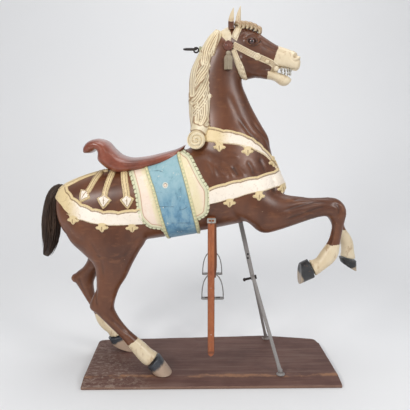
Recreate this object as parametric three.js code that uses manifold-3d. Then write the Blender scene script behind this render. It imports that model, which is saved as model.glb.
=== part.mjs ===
// A carved carousel horse on its board, with its iron stand, stirrups and horsehair tail.
// Millimetres. +X is the way the horse faces, +Z is up, the origin is the centre of the board's underside.
// The right-hand side of the horse is the -Y side.
import * as THREE from "three";
import { mergeVertices } from "three/addons/utils/BufferGeometryUtils.js";
import Module from "manifold-3d";

const wasm = await Module();
wasm.setup();

// ---------------------------------------------------------------- driving dimensions
const GAP = 0.3; // clearance between touching pieces

const board = { length: 1000, depth: 400, thick: 26, edge: 11, bevel: 60, bow: 39, bowAt: 260, clip: 36 };
const lowRelief = 6; // how far the bands and the cloth stand out from the horse
const highRelief = 10; // and the girth and the spear-headed straps
const boardTop = board.thick;
const hoofLevel = boardTop + GAP;

const paint = {
  horse: { color: 0x6b3a22, roughness: 0.35, metalness: 0 },
  wood: { color: 0x4a2a22, roughness: 0.7, metalness: 0 },
  hair: { color: 0x2b1c12, roughness: 0.6, metalness: 0 },
  glass: { color: 0x2a0d08, roughness: 0.05, metalness: 0 },
  iron: { color: 0x35322f, roughness: 0.55, metalness: 0.8 },
  steel: { color: 0x9a968c, roughness: 0.4, metalness: 0.8 },
  leather: { color: 0xb0562a, roughness: 0.55, metalness: 0 },
};

// ---------------------------------------------------------------- solids
// A three.js geometry as a manifold solid, turned inside out if its faces point inwards.
function solid(geometry) {
  const g = geometry.clone();
  g.deleteAttribute("normal");
  g.deleteAttribute("uv");
  const merged = mergeVertices(g, 1e-4);
  const triVerts = new Uint32Array(merged.index.array);
  const make = () =>
    new wasm.Manifold(new wasm.Mesh({ numProp: 3, vertProperties: merged.attributes.position.array, triVerts }));
  const made = make();
  if (made.volume() > 0) return made;
  for (let i = 0; i < triVerts.length; i += 3)
    [triVerts[i + 1], triVerts[i + 2]] = [triVerts[i + 2], triVerts[i + 1]];
  return make();
}

const join = (...solids) => solids.flat(2).reduce((a, b) => a.add(b));

// The main body of a solid, without the pockets and crumbs that joins leave inside it.
const whole = (made) => made.decompose().reduce((a, b) => (a.volume() > b.volume() ? a : b));

// A manifold solid as a named mesh.
function piece(name, made, look) {
  const m = made.getMesh();
  const geometry = new THREE.BufferGeometry();
  const points = new Float32Array(m.numVert * 3);
  for (let i = 0; i < m.numVert; i++)
    points.set(m.vertProperties.subarray(i * m.numProp, i * m.numProp + 3), i * 3);
  geometry.setAttribute("position", new THREE.BufferAttribute(points, 3));
  geometry.setIndex(new THREE.BufferAttribute(new Uint32Array(m.triVerts), 1));
  geometry.computeVertexNormals();
  const mesh = new THREE.Mesh(geometry, new THREE.MeshStandardMaterial(look));
  mesh.name = name;
  return mesh;
}

// Uniform Catmull-Rom value between rows of numbers.
function rowAt(rows, at) {
  const i = Math.min(Math.floor(at), rows.length - 2);
  const t = at - i;
  const near = [rows[Math.max(i - 1, 0)], rows[i], rows[i + 1], rows[Math.min(i + 2, rows.length - 1)]];
  const size = Math.max(...near.map((row) => row.length));
  return Array.from({ length: size }, (_, k) => {
    const [a, b, c, d] = near.map((row) => row[k] ?? 0);
    const cubic = (3 * b - a - 3 * c + d) * t * t * t;
    return 0.5 * (2 * b + (c - a) * t + (2 * a - 5 * b + 4 * c - d) * t * t + cubic);
  });
}

// A closed skin over rings of points, each ring with the same count, capped flat at both ends.
function skin(rings) {
  const n = rings[0].length;
  const points = rings.flat();
  const faces = [];
  for (let r = 0; r + 1 < rings.length; r++)
    for (let k = 0; k < n; k++) {
      const a = r * n + k;
      const b = r * n + ((k + 1) % n);
      faces.push(a, b, a + n, b, b + n, a + n);
    }
  for (const [start, flip] of [[0, true], [(rings.length - 1) * n, false]]) {
    const middle = new THREE.Vector3();
    for (let k = 0; k < n; k++) middle.addScaledVector(points[start + k], 1 / n);
    points.push(middle);
    for (let k = 0; k < n; k++) {
      const a = start + k;
      const b = start + ((k + 1) % n);
      faces.push(...(flip ? [b, a, points.length - 1] : [a, b, points.length - 1]));
    }
  }
  const geometry = new THREE.BufferGeometry().setFromPoints(points);
  geometry.setIndex(faces);
  return geometry;
}

// A swept form. Each section is an oval that stands on a line in the side view:
// [x, z of one end, x, z of the other end, y of the middle, half width, taper].
// A positive taper widens the oval towards its first end. A square under 1 makes the oval boxier.
// grow swells the whole form.
function sweep(sections, { sides, square = 1, grow = 0, turn }) {
  const made = [];
  for (const [ax, az, bx, bz, y, half, taper = 0] of sections) {
    const reach = Math.hypot(ax - bx, az - bz) / 2;
    const swell = (reach + grow) / reach;
    const [cx, cz] = [(ax + bx) / 2, (az + bz) / 2];
    const ring = [];
    for (let k = 0; k < sides; k++) {
      const angle = (2 * Math.PI * k) / sides;
      const along = Math.sign(Math.cos(angle)) * Math.abs(Math.cos(angle)) ** square;
      const across = Math.sign(Math.sin(angle)) * Math.abs(Math.sin(angle)) ** square;
      ring.push(
        new THREE.Vector3(
          cx + ((ax - bx) / 2) * along * swell,
          y + (half + grow) * across * (1 + taper * along),
          cz + ((az - bz) / 2) * along * swell,
        ),
      );
    }
    made.push(ring);
  }
  const geometry = skin(made);
  if (turn) geometry.applyMatrix4(turn);
  return solid(geometry);
}

// A flat outline in the side view, [x, z] points, pushed through the horse from side to side.
function slab(points, from = -400, to = 400, turn) {
  const shape = points instanceof THREE.Shape ? points : new THREE.Shape(points.map(([x, z]) => new THREE.Vector2(x, z)));
  const geometry = new THREE.ExtrudeGeometry(shape, { depth: to - from, bevelEnabled: false, curveSegments: 5 });
  geometry.rotateX(Math.PI / 2);
  geometry.translate(0, to, 0);
  if (turn) geometry.applyMatrix4(turn);
  return solid(geometry);
}

// A smooth line through [x, z] points, as count + 1 points.
function line(points, count) {
  return Array.from({ length: count + 1 }, (_, i) => rowAt(points, (i * (points.length - 1)) / count));
}

// The outline of a ribbon of the given width that hangs below a line of [x, z] points.
function ribbon(upper, width) {
  const lower = upper.map(([x, z], i) => {
    const [px, pz] = upper[Math.max(i - 1, 0)];
    const [nx, nz] = upper[Math.min(i + 1, upper.length - 1)];
    const step = Math.hypot(nx - px, nz - pz);
    return [x + (width * (nz - pz)) / step, z - (width * (nx - px)) / step];
  });
  return [...upper, ...lower.reverse()];
}

// ---------------------------------------------------------------- the horse's sections
const trunk = [
  [-604, 715, -604, 655, 0, 45],
  [-592, 748, -592, 610, 0, 80],
  [-565, 766, -565, 565, 0, 108],
  [-505, 792, -505, 540, 0, 128],
  [-430, 814, -430, 532, 0, 138],
  [-265, 850, -265, 546, 0, 142, -0.04],
  [-90, 904, -90, 574, 0, 151, -0.1],
  [0, 925, 0, 590, 0, 152, -0.12],
  [150, 890, 150, 622, 0, 134, -0.14],
  [215, 858, 215, 650, 0, 112, -0.1],
  [262, 815, 262, 690, 0, 84],
  [290, 770, 290, 725, 0, 45],
];
const neck = [
  [297, 735, -60, 760, 0, 122],
  [285, 780, -78, 850, 0, 118],
  [256, 842, -72, 915, 0, 104, -0.1],
  [239, 885, -64, 965, 0, 90, -0.12],
  [228, 945, -60, 1015, 0, 77, -0.08],
  [197, 997, -60, 1070, 0, 66],
  [160, 1062, -60, 1130, 0, 59],
  [133, 1120, -56, 1195, 0, 56],
  [119, 1156, -40, 1250, 0, 55],
  [122, 1215, -8, 1308, 0, 54],
  [128, 1262, 30, 1340, 0, 46],
];
const skull = [
  [34, 1338, 84, 1222, 0, 34],
  [56, 1353, 104, 1188, 0, 45, -0.05],
  [90, 1363, 128, 1169, 0, 51],
  [130, 1357, 160, 1172, 0, 53, 0.05],
  [172, 1341, 192, 1180, 0, 47, 0.1],
  [213, 1314, 222, 1190, 0, 40, 0.05],
  [250, 1292, 250, 1204, 0, 35],
  [285, 1280, 277, 1208, 0, 34, -0.1],
  [313, 1268, 303, 1202, 0, 35, -0.12],
  [331, 1250, 322, 1198, 0, 31, -0.1],
  [338, 1230, 334, 1206, 0, 19],
];
const jaw = [
  [150, 1235, 150, 1178, 0, 38],
  [205, 1216, 205, 1169, 0, 34],
  [240, 1199, 240, 1162, 0, 30],
  [266, 1190, 264, 1145, 0, 28],
  [291, 1180, 286, 1143, 0, 25],
  [307, 1167, 301, 1154, 0, 14],
];
const hindRight = [
  [-300, 735, -530, 735, -48, 78],
  [-252, 640, -578, 648, -64, 84],
  [-252, 560, -550, 562, -74, 80],
  [-278, 515, -500, 512, -82, 68],
  [-305, 466, -456, 466, -90, 55],
  [-331, 412, -446, 414, -96, 46],
  [-358, 369, -449, 366, -100, 39],
  [-379, 302, -476, 300, -102, 34],
  [-368, 266, -449, 272, -104, 30],
  [-347, 231, -404, 224, -105, 26],
  [-314, 193, -348, 164, -107, 23],
  [-262, 148, -304, 103, -109, 28],
  [-236, 122, -278, 72, -110, 31],
  [-211, 106, -256, 55, -110, 34],
  [-206, 102, -252, 50, -110, 38],
  [-156, 26, -216, 6, -110, 43],
];
const hindLeft = [
  [-300, 735, -530, 735, 48, 78],
  [-256, 640, -576, 645, 64, 84],
  [-285, 555, -552, 553, 74, 78],
  [-335, 505, -530, 493, 84, 66],
  [-392, 460, -515, 445, 92, 52],
  [-442, 415, -537, 402, 97, 42],
  [-474, 380, -566, 378, 100, 36],
  [-490, 348, -590, 350, 102, 33],
  [-498, 318, -572, 328, 103, 30],
  [-486, 240, -526, 246, 103, 23],
  [-464, 195, -502, 198, 104, 22],
  [-444, 163, -490, 158, 104, 25],
  [-420, 138, -467, 124, 105, 29],
  [-392, 118, -444, 106, 105, 30],
  [-368, 104, -438, 86, 105, 33],
  [-362, 100, -442, 82, 105, 37],
  [-324, 18, -428, 58, 105, 41],
];
const foreRight = [
  [120, 815, 45, 690, -48, 78],
  [200, 782, 118, 634, -70, 72],
  [255, 742, 190, 586, -86, 58],
  [300, 734, 250, 594, -93, 48],
  [400, 725, 378, 637, -95, 36],
  [447, 728, 428, 650, -95, 34],
  [484, 720, 446, 650, -95, 35],
  [510, 696, 454, 636, -94, 34],
  [520, 664, 459, 620, -93, 32],
  [513, 632, 460, 602, -92, 28],
  [500, 560, 450, 552, -90, 24],
  [494, 502, 420, 504, -90, 29],
  [476, 470, 408, 484, -90, 30],
  [442, 441, 395, 477, -90, 30],
  [406, 413, 378, 478, -90, 35],
  [403, 409, 374, 480, -90, 38],
  [342, 382, 346, 466, -90, 42],
];
const foreLeft = [
  [120, 815, 45, 690, 48, 78],
  [200, 770, 118, 642, 70, 72],
  [260, 722, 195, 600, 84, 56],
  [320, 704, 270, 598, 91, 46],
  [385, 698, 350, 606, 93, 39],
  [455, 695, 425, 618, 94, 36],
  [510, 690, 476, 620, 94, 36],
  [548, 668, 492, 612, 93, 35],
  [564, 634, 502, 596, 92, 31],
  [563, 600, 512, 580, 91, 27],
  [566, 571, 520, 560, 90, 25],
  [600, 518, 548, 514, 90, 29],
  [612, 458, 556, 462, 90, 30],
  [619, 432, 551, 447, 90, 34],
  [620, 426, 548, 442, 90, 37],
  [623, 380, 556, 420, 90, 41],
];

// The head turns a little to the right about the poll.
const headTurn = new THREE.Matrix4()
  .makeTranslation(60, 0, 0)
  .multiply(new THREE.Matrix4().makeRotationZ(THREE.MathUtils.degToRad(-6)))
  .multiply(new THREE.Matrix4().makeTranslation(-60, 0, 0));

const neckForm = (grow = 0) => sweep(neck, { sides: 14, grow });
const skullForm = (grow = 0) => sweep(skull, { sides: 12, square: 0.85, grow, turn: headTurn });
const trunkForm = (grow = 0) => sweep(trunk, { sides: 14, square: 0.88, grow });
const legSides = 8;
const thighs = (grow = 0) => [hindRight, hindLeft].map((leg) => sweep(leg.slice(0, 6), { sides: legSides, grow }));
const shoulders = (grow = 0) => [foreRight, foreLeft].map((leg) => sweep(leg.slice(0, 4), { sides: legSides, grow }));
const barrel = (grow = 0) => join(trunkForm(grow), neckForm(grow), thighs(grow), shoulders(grow));

const legs = () => [hindRight, hindLeft, foreRight, foreLeft].map((leg) => sweep(leg, { sides: legSides }));

// ---------------------------------------------------------------- carved trappings
// A trefoil drop that hangs from [x, z].
const trefoil = [[-13, 12], [-27, -14], [-10, -22], [0, -37], [10, -22], [27, -14], [13, 12]];
const drop = ([x, z]) => slab(trefoil.map(([dx, dz]) => [x + dx, z + dz]));

// A carved band: a flat field between two lines, with drops along its lower edge.
const band = (upper, lower, drops) => join(slab([...line(upper, 4), ...line(lower, 4).reverse()]), drops.map(drop));
const upperBreast = band(
  [[-12, 993], [47, 985], [126, 969], [195, 918], [262, 844]],
  [[-36, 936], [52, 924], [130, 909], [195, 886], [262, 815]],
  [[30, 919], [135, 906], [237, 857]],
);
const lowerBreast = band(
  [[-12, 766], [55, 781], [130, 798], [210, 811], [300, 822]],
  [[-12, 708], [55, 721], [130, 738], [210, 753], [300, 764]],
  [[67, 717], [173, 742], [268, 755]],
);
const rumpBand = band(
  [[-615, 790], [-568, 759], [-510, 721], [-420, 683], [-335, 683], [-265, 691]],
  [[-625, 722], [-563, 695], [-515, 650], [-430, 632], [-345, 623], [-265, 634]],
  [[-518, 647], [-408, 623], [-300, 619]],
);

// A strap that ends in a spearhead, from [x, z] down to its tip.
function spear([topX, topZ], [tipX, tipZ], width = 13, head = 30) {
  const length = Math.hypot(tipX - topX, tipZ - topZ);
  const [ux, uz] = [(tipX - topX) / length, (tipZ - topZ) / length];
  const at = (s, w) => [topX + ux * s - uz * w, topZ + uz * s + ux * w];
  return slab([
    at(0, -width), at(length - 60, -width), at(length - 46, -head), at(length, 0),
    at(length - 46, head), at(length - 60, width), at(0, width),
  ]);
}
const spears = () => [
  spear([-398, 830], [-487, 716], 11, 24),
  spear([-386, 830], [-404, 686]),
  spear([-341, 834], [-313, 687]),
  slab([[-420, 900], [-600, 900], [-600, 700], [-420, 780]], -14, 14),
];

const clothOutline = [
  ...line([[-330, 905], [-296, 800], [-284, 728], [-274, 660], [-228, 615], [-185, 595]], 5),
  [-150, 480], [-60, 480],
  ...line([[-60, 620], [-27, 652], [-9, 705], [-8, 755], [-38, 823], [-78, 887], [-112, 930]], 6),
];
const girthOutline = [[-262, 905], [-220, 751], [-165, 500], [-32, 500], [-98, 790], [-116, 905]];

const saddleSections = [
  [-98, 920, -106, 902, 0, 22],
  [-135, 903, -132, 868, 0, 62],
  [-185, 889, -182, 848, 0, 84],
  [-245, 875, -240, 832, 0, 92],
  [-305, 869, -305, 818, 0, 94],
  [-345, 879, -372, 815, 0, 94],
  [-374, 903, -432, 856, 0, 92],
  [-402, 932, -434, 890, 0, 88],
  [-440, 943, -441, 900, 0, 84],
  [-472, 934, -452, 894, 0, 78],
  [-489, 914, -464, 889, 0, 70],
  [-491, 897, -478, 889, 0, 58],
];

// The mane wraps the crest of the neck. Its sections slant down and back, every second one cut in,
// so that the skin between them forms the carved locks.
const maneSections = [
  [44, 1338, 18, 1352, 0, 22],
  [27, 1318, -14, 1318, 0, 44],
  [8, 1280, -50, 1256, 0, 58],
  [-3, 1225, -79, 1190, 0, 63],
  [-7, 1160, -84, 1115, 0, 67],
  [-4, 1095, -84, 1045, 0, 71],
  [-4, 1025, -78, 985, 0, 78],
  [-18, 965, -82, 950, 0, 86],
  [-36, 928, -88, 930, 0, 84],
];
function maneForm(grow = 0) {
  const count = 15;
  const sections = Array.from({ length: count }, (_, k) => {
    const row = rowAt(maneSections, (k * (maneSections.length - 1)) / (count - 1));
    row[5] += k % 2 ? 5 : -3;
    return row;
  });
  return sweep(sections, { sides: 10, square: 0.85, grow });
}
// The scroll that ends the mane on each side.
function scroll(side) {
  const disc = new THREE.CylinderGeometry(36, 36, 24, 10).translate(-62, side * 88, 940);
  const eye = new THREE.CylinderGeometry(14, 14, 34, 6).translate(-56, side * 88, 944);
  return [solid(disc), solid(eye)];
}

// ---------------------------------------------------------------- head details
const strap = (points, width) => slab(ribbon(points, width), -200, 200);
function bridle() {
  const on = skullForm(4);
  const straps = join(
    strap([[88, 1310], [170, 1270], [250, 1222]], 21),
    strap([[52, 1296], [82, 1250], [112, 1172], [122, 1150]], 20),
    slab([[78, 1306], [98, 1385], [118, 1370], [106, 1310]], -200, 200),
    slab([[24, 1300], [22, 1352], [60, 1380], [72, 1310], [66, 1290]], -200, 200),
  );
  const crown = slab([[16, 1334], [30, 1360], [64, 1372], [74, 1300], [58, 1284]], -200, 200);
  return [on.intersect(straps), join(neckForm(6), skullForm(5)).intersect(crown)];
}

function atHead(geometry) {
  return solid(geometry.applyMatrix4(headTurn));
}
const disc = (radius, thick, x, y, z, sides = 8) =>
  atHead(new THREE.CylinderGeometry(radius, radius, thick, sides).translate(x, y, z));

// A leaf-shaped ear, dished on its outer front.
function ear(side, [baseX, baseZ], [tipX, tipZ]) {
  const shares = [[0, 0.9], [0.25, 1], [0.6, 0.72], [0.85, 0.4], [1, 0.08]];
  const rings = shares.map(([share, size]) => {
    const x = baseX + (tipX - baseX) * share;
    const z = baseZ + (tipZ - baseZ) * share;
    return [x - 14 * size, z - 1, x + 14 * size, z + 1, side * (30 + 6 * share), 11 * size, -0.35];
  });
  return sweep(rings, { sides: 6, turn: headTurn });
}

const eyeAt = { x: 153, y: 45, z: 1308, radius: 13 };
const eyeBall = (side, radius) =>
  atHead(new THREE.SphereGeometry(radius, 8, 6).translate(eyeAt.x, side * eyeAt.y, eyeAt.z));

// The raised almond of lids around the eye.
function eyeLids(side) {
  const rim = new THREE.CylinderGeometry(14, 19, 10, 8).scale(1.15, 1, 0.85);
  if (side > 0) rim.rotateX(Math.PI);
  rim.rotateX(Math.PI).translate(eyeAt.x, side * 51, eyeAt.z);
  return atHead(rim);
}

function forelock() {
  const tufts = [
    [[[92, 1368], [128, 1374], [156, 1364], [184, 1336]], 0],
    [[[94, 1362], [124, 1364], [146, 1352], [160, 1332]], -26],
    [[[94, 1362], [124, 1364], [146, 1352], [160, 1332]], 26],
  ];
  return tufts.map(([path, y]) => {
    const at = line(path, 3);
    const rings = at.map(([x, z], i) => {
      const plump = 5 + 11 * Math.sin((Math.PI * (i + 0.8)) / (at.length + 0.2));
      return [x, z + plump, x, z - plump, y, plump * 1.3];
    });
    return sweep(rings, { sides: 5, turn: headTurn });
  });
}

const tassel = (side) =>
  sweep(
    [
      [54, 1292, 82, 1292, side * 50, 12],
      [60, 1262, 78, 1262, side * 58, 9],
      [51, 1256, 85, 1256, side * 60, 14],
      [54, 1206, 86, 1206, side * 60, 15],
    ],
    { sides: 6, turn: headTurn },
  );

function nostril(side) {
  const hole = new THREE.SphereGeometry(11, 6, 4).scale(1.2, 0.9, 0.75).rotateY(0.5);
  return atHead(hole.translate(319, side * 33, 1250));
}

function teeth() {
  return sweep([[255, 1210, 250, 1190, 0, 24], [285, 1206, 284, 1184, 0, 22], [312, 1202, 300, 1180, 0, 16]], {
    sides: 6, square: 0.7, turn: headTurn,
  });
}

// ---------------------------------------------------------------- assembly of the carved horse
function carvedHorse() {
  const head = join(skullForm(), sweep(jaw, { sides: 8, turn: headTurn })).subtract(nostril(-1)).subtract(nostril(1));
  let made = join(trunkForm(), neckForm(), head, legs(), teeth());

  const carved = (relief, outlines) => barrel(relief).intersect(join(outlines));
  made = join(
    made,
    carved(lowRelief, [upperBreast, lowerBreast, rumpBand, slab(clothOutline)]),
    carved(highRelief, [slab(girthOutline), spears()]),
    sweep(saddleSections, { sides: 10, square: 0.75 }),
    maneForm(), scroll(-1), scroll(1), bridle(), forelock(),
    ear(-1, [78, 1350], [85, 1422]), ear(1, [101, 1354], [109, 1443]),
    tassel(-1), tassel(1), eyeLids(-1), eyeLids(1),
    [-1, 1].map((side) => disc(16, 14, 68, side * 50, 1302)),
    [-1, 1].map((side) => disc(14, 12, 193, side * 43, 1245, 8)),
  );
  for (const side of [-1, 1]) made = made.subtract(eyeBall(side, eyeAt.radius + GAP));
  const below = solid(new THREE.BoxGeometry(2000, 1000, 200).translate(0, 0, hoofLevel - 100));
  return whole(made.subtract(below));
}

// ---------------------------------------------------------------- board
function baseBoard() {
  const [l, d] = [board.length / 2, board.depth / 2];
  const plan = new THREE.Shape();
  plan.moveTo(-l, -d);
  plan.lineTo(l, -d);
  plan.lineTo(l - 8, d - board.clip - 6);
  plan.quadraticCurveTo(l - 10, d - 6, l - 30, d);
  plan.lineTo(board.bowAt, d + board.bow);
  plan.lineTo(-l + 60, d + 6);
  plan.quadraticCurveTo(-l + 4, d, -l, d - board.clip);
  const blank = solid(new THREE.ExtrudeGeometry(plan, { depth: board.thick, bevelEnabled: false, curveSegments: 6 }));
  const wedge = new THREE.Shape(
    [[-d - 50, board.edge - 12.5], [-d + board.bevel, board.thick], [-d + board.bevel, board.thick + 20], [-d - 50, board.thick + 20]].map(
      ([y, z]) => new THREE.Vector2(y, z),
    ),
  );
  const cutter = new THREE.ExtrudeGeometry(wedge, { depth: 2 * board.length, bevelEnabled: false });
  cutter.applyMatrix4(new THREE.Matrix4().makeBasis(
    new THREE.Vector3(0, 1, 0), new THREE.Vector3(0, 0, 1), new THREE.Vector3(1, 0, 0),
  ));
  cutter.translate(-board.length, 0, 0);
  return blank.subtract(solid(cutter));
}

// ---------------------------------------------------------------- tail
const tailSections = [
  [-572, 752, -578, 736, 0, 12],
  [-592, 765, -596, 726, 0, 20],
  [-622, 752, -604, 690, 0, 28],
  [-648, 720, -602, 640, 0, 32],
  [-664, 660, -600, 590, 0, 33],
  [-674, 590, -606, 540, 0, 31],
  [-680, 530, -616, 505, 0, 27],
  [-684, 478, -640, 480, 0, 19],
];

// ---------------------------------------------------------------- ironwork
// A round bar along 3-D points.
function rod(points, radius, sides, steps) {
  const path = new THREE.CatmullRomCurve3(points.map((p) => new THREE.Vector3(...p)));
  const section = new THREE.Shape();
  for (let k = 0; k < sides; k++) {
    const angle = (2 * Math.PI * k) / sides;
    section[k ? "lineTo" : "moveTo"](radius * Math.cos(angle), radius * Math.sin(angle));
  }
  return solid(new THREE.ExtrudeGeometry(section, { steps, extrudePath: path, bevelEnabled: false }));
}

// A flat bar between two points, w wide in the side view and t thick across it.
function bar(from, to, w, t) {
  const [a, b] = [new THREE.Vector3(...from), new THREE.Vector3(...to)];
  const box = new THREE.BoxGeometry(w, t, a.distanceTo(b));
  const up = new THREE.Vector3().subVectors(b, a).normalize();
  const across = new THREE.Vector3(0, 1, 0).addScaledVector(up, -up.y).normalize();
  const side = new THREE.Vector3().crossVectors(across, up);
  box.applyMatrix4(new THREE.Matrix4().makeBasis(side, across, up));
  return solid(box.translate(...a.add(b).multiplyScalar(0.5).toArray()));
}

// ---------------------------------------------------------------- ring on the crest
const ring = { x: -80, z: 1277, radius: 23, bar: 3.6, tilt: 11.5 };
function crestRing() {
  const torus = new THREE.TorusGeometry(ring.radius, ring.bar, 5, 14);
  torus.rotateX(THREE.MathUtils.degToRad(ring.tilt)).translate(ring.x, 0, ring.z);
  return solid(torus);
}
function crestEyeBolt() {
  const eyeX = ring.x + ring.radius;
  const eye = new THREE.TorusGeometry(9, 3, 4, 8).rotateX(Math.PI / 2).translate(eyeX, 0, ring.z);
  const shank = new THREE.CylinderGeometry(4, 4, 50, 6).rotateZ(Math.PI / 2).translate(eyeX + 32, 0, ring.z);
  const nut = new THREE.BoxGeometry(10, 22, 22).translate(eyeX + 16, 0, ring.z + 2);
  return whole(join(solid(eye), solid(shank), solid(nut)).subtract(maneForm(GAP)).subtract(neckForm(GAP)));
}

// ---------------------------------------------------------------- stirrups
const strapY = 128.5; // middle of the leather loop, out from the centre line
const leather = { wide: 25, top: 652, tip: 106 };
const irons = { "-1": { x: 3.5, top: 435, wide: 82 }, 1: { x: 10, top: 455, wide: 82 } };
const hangs = { "-1": 0, 1: 7.5 }; // how far forward the leather hangs
const ironHeight = 100;
const ironBar = 2.4;
const treadDepth = 22;

const looseAt = [strapY + 12, strapY + 15]; // the loose end, outside everything else

function leatherStrap(side) {
  const iron = irons[side];
  const x = hangs[side];
  const half = leather.wide / 2;
  // A length of strap between two heights, lying between two distances from the centre line.
  const run = (topX, topZ, bottomX, bottomZ, from, to) =>
    slab(
      [[topX - half, topZ], [bottomX - half, bottomZ], [bottomX + half, bottomZ], [topX + half, topZ]],
      side < 0 ? -to : from,
      side < 0 ? -from : to,
    );
  const bend = iron.top - ironBar - GAP;
  const loose = [[-15, leather.top], [-15, leather.tip + 16], [-3, leather.tip], [10, leather.tip + 16], [10, leather.top]];
  const made = join(
    slab(loose.map(([dx, z]) => [x + dx, z]), side < 0 ? -looseAt[1] : looseAt[0], side < 0 ? -looseAt[0] : looseAt[1]),
    run(x, leather.top, iron.x - 2, bend - 4, strapY + 3.5, strapY + 6.5),
    run(x + 6, leather.top, iron.x + 3, bend - 4, strapY - 6.5, strapY - 3.5),
    run(iron.x, bend, iron.x, bend - 9, strapY - 6.5, strapY + 6.5),
    run(x, leather.top, x, leather.top - 12, strapY - 30, looseAt[1]),
  );
  return whole(made.subtract(barrel(lowRelief + GAP)).subtract(ironArch(side, ironBar + GAP)));
}

function buckle(side) {
  const y = side * (looseAt[1] + GAP + 1.5);
  const at = (geometry) => solid(geometry.translate(hangs[side] - 2, y, leather.top - 7));
  const opening = at(new THREE.BoxGeometry(22, 10, 9));
  const tongue = at(new THREE.BoxGeometry(3, 3, 12));
  return at(new THREE.BoxGeometry(32, 3, 18)).subtract(opening).add(tongue);
}

// The arch of the iron, from the tread up one side, over the top and down again.
function ironArch(side, radius) {
  const { x, top, wide } = irons[side];
  const quarter = [[1, 0], [0.97, 0.36], [0.78, 0.72], [0.38, 0.95]];
  const arch = [...quarter.map(([u, w]) => [-u, w]), [0, 1], ...quarter.toReversed()];
  const foot = top - ironHeight;
  const points = arch.map(([u, w]) => [x + (u * wide) / 2, side * strapY, foot + w * ironHeight]);
  return rod(points, radius, 5, 10);
}
function stirrupIron(side) {
  const { x, top, wide } = irons[side];
  const tread = new THREE.BoxGeometry(wide + 3, treadDepth, 6).translate(x, side * strapY, top - ironHeight + 3);
  return ironArch(side, ironBar).add(solid(tread));
}

// ---------------------------------------------------------------- stand
const postTop = [120, 22, 610];
const fork = [176, 22, 366];
const footRight = [272, -138];
const footLeft = [258, 202];
const boltRadius = 5;
const boltTilt = -0.25; // square to the post

const post = (grow = 0) => bar(postTop, fork, 18 + grow, 14 + grow);
function standPost() {
  return whole(post().subtract(barrel(lowRelief + GAP)).subtract(standBolt(boltRadius + GAP)));
}
function standLeg([footX, footY], wide) {
  const side = Math.sign(footY - fork[1]);
  const from = [fork[0] - 2, fork[1] + side * 12, fork[2] + 16];
  const to = [footX, footY, boardTop + 8];
  const pad = new THREE.CylinderGeometry(7, 17, 20, 10).rotateX(Math.PI / 2).translate(footX, footY, hoofLevel + 10);
  return whole(bar(from, to, wide, 10).add(solid(pad)).subtract(post(2 * GAP)));
}
// The bolt through the foot of the post, square to it.
function standBolt(radius) {
  const shank = new THREE.CylinderGeometry(radius, radius, 52, 8);
  shank.rotateZ(Math.PI / 2).rotateY(boltTilt).translate(164, fork[1], 370);
  return solid(shank);
}
function boltWithNut() {
  const nut = new THREE.CylinderGeometry(9, 9, 6, 6).rotateZ(Math.PI / 2).rotateY(boltTilt);
  return standBolt(boltRadius).add(solid(nut.translate(187, fork[1], 375.8)));
}

// ---------------------------------------------------------------- the finished object
const group = new THREE.Group();
group.add(piece("horse", carvedHorse(), paint.horse));
group.add(piece("base_board", baseBoard(), paint.wood));
group.add(piece("tail", whole(sweep(tailSections, { sides: 8 }).subtract(barrel(highRelief + GAP))), paint.hair));
group.add(piece("crest_ring", crestRing(), paint.iron));
group.add(piece("crest_eye_bolt", crestEyeBolt(), paint.iron));
for (const [side, hand] of [[-1, "right"], [1, "left"]]) {
  group.add(piece("eye_" + hand, eyeBall(side, eyeAt.radius), paint.glass));
  group.add(piece("stirrup_leather_" + hand, leatherStrap(side), paint.leather));
  group.add(piece("stirrup_buckle_" + hand, buckle(side), paint.steel));
  group.add(piece("stirrup_iron_" + hand, stirrupIron(side), paint.steel));
}
group.add(piece("stand_post", standPost(), paint.steel));
group.add(piece("stand_leg_right", standLeg(footRight, 14), paint.steel));
group.add(piece("stand_leg_left", standLeg(footLeft, 12), paint.steel));
group.add(piece("stand_bolt", boltWithNut(), paint.iron));

export default group;
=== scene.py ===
import math

import bpy
import numpy as np
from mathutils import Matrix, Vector


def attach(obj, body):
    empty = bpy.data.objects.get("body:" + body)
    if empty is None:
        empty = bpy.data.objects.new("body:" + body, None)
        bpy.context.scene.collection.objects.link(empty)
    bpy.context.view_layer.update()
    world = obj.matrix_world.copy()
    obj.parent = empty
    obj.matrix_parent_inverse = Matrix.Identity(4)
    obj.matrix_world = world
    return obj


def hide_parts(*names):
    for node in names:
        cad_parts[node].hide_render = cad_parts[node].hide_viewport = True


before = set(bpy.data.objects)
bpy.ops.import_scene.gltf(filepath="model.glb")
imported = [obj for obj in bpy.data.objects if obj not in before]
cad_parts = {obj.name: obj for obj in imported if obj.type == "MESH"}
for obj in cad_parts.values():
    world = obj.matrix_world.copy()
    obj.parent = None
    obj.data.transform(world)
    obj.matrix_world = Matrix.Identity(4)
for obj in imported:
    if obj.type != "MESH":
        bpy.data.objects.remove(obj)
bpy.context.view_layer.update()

# A carved carousel horse on its board. Lengths in this file are millimetres until a piece is made.
# +X is the way the horse faces, +Z is up, and the horse's right side is the -Y side.
MM = 0.001


# ---------------------------------------------------------------- finishes
class Shade:
    """A number that varies over a surface, as the output of a node."""

    def __init__(self, finish, socket):
        self.finish = finish
        self.socket = socket

    def __add__(self, other):
        return self.finish.sum("ADD", self, other)

    def __sub__(self, other):
        return self.finish.sum("SUBTRACT", self, other)

    def __rsub__(self, other):
        return self.finish.sum("SUBTRACT", other, self)

    def __mul__(self, other):
        return self.finish.sum("MULTIPLY", self, other)

    __radd__ = __add__
    __rmul__ = __mul__

    def above(self, level, soft):
        """0 below the level and 1 above it, with a soft step between."""
        spans = {"From Min": level - soft, "From Max": level + soft}
        return self.finish.node("MapRange", {"interpolation_type": "SMOOTHSTEP"}, {"Value": self, **spans})

    def below(self, level, soft):
        return 1 - self.above(level, soft)


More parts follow.
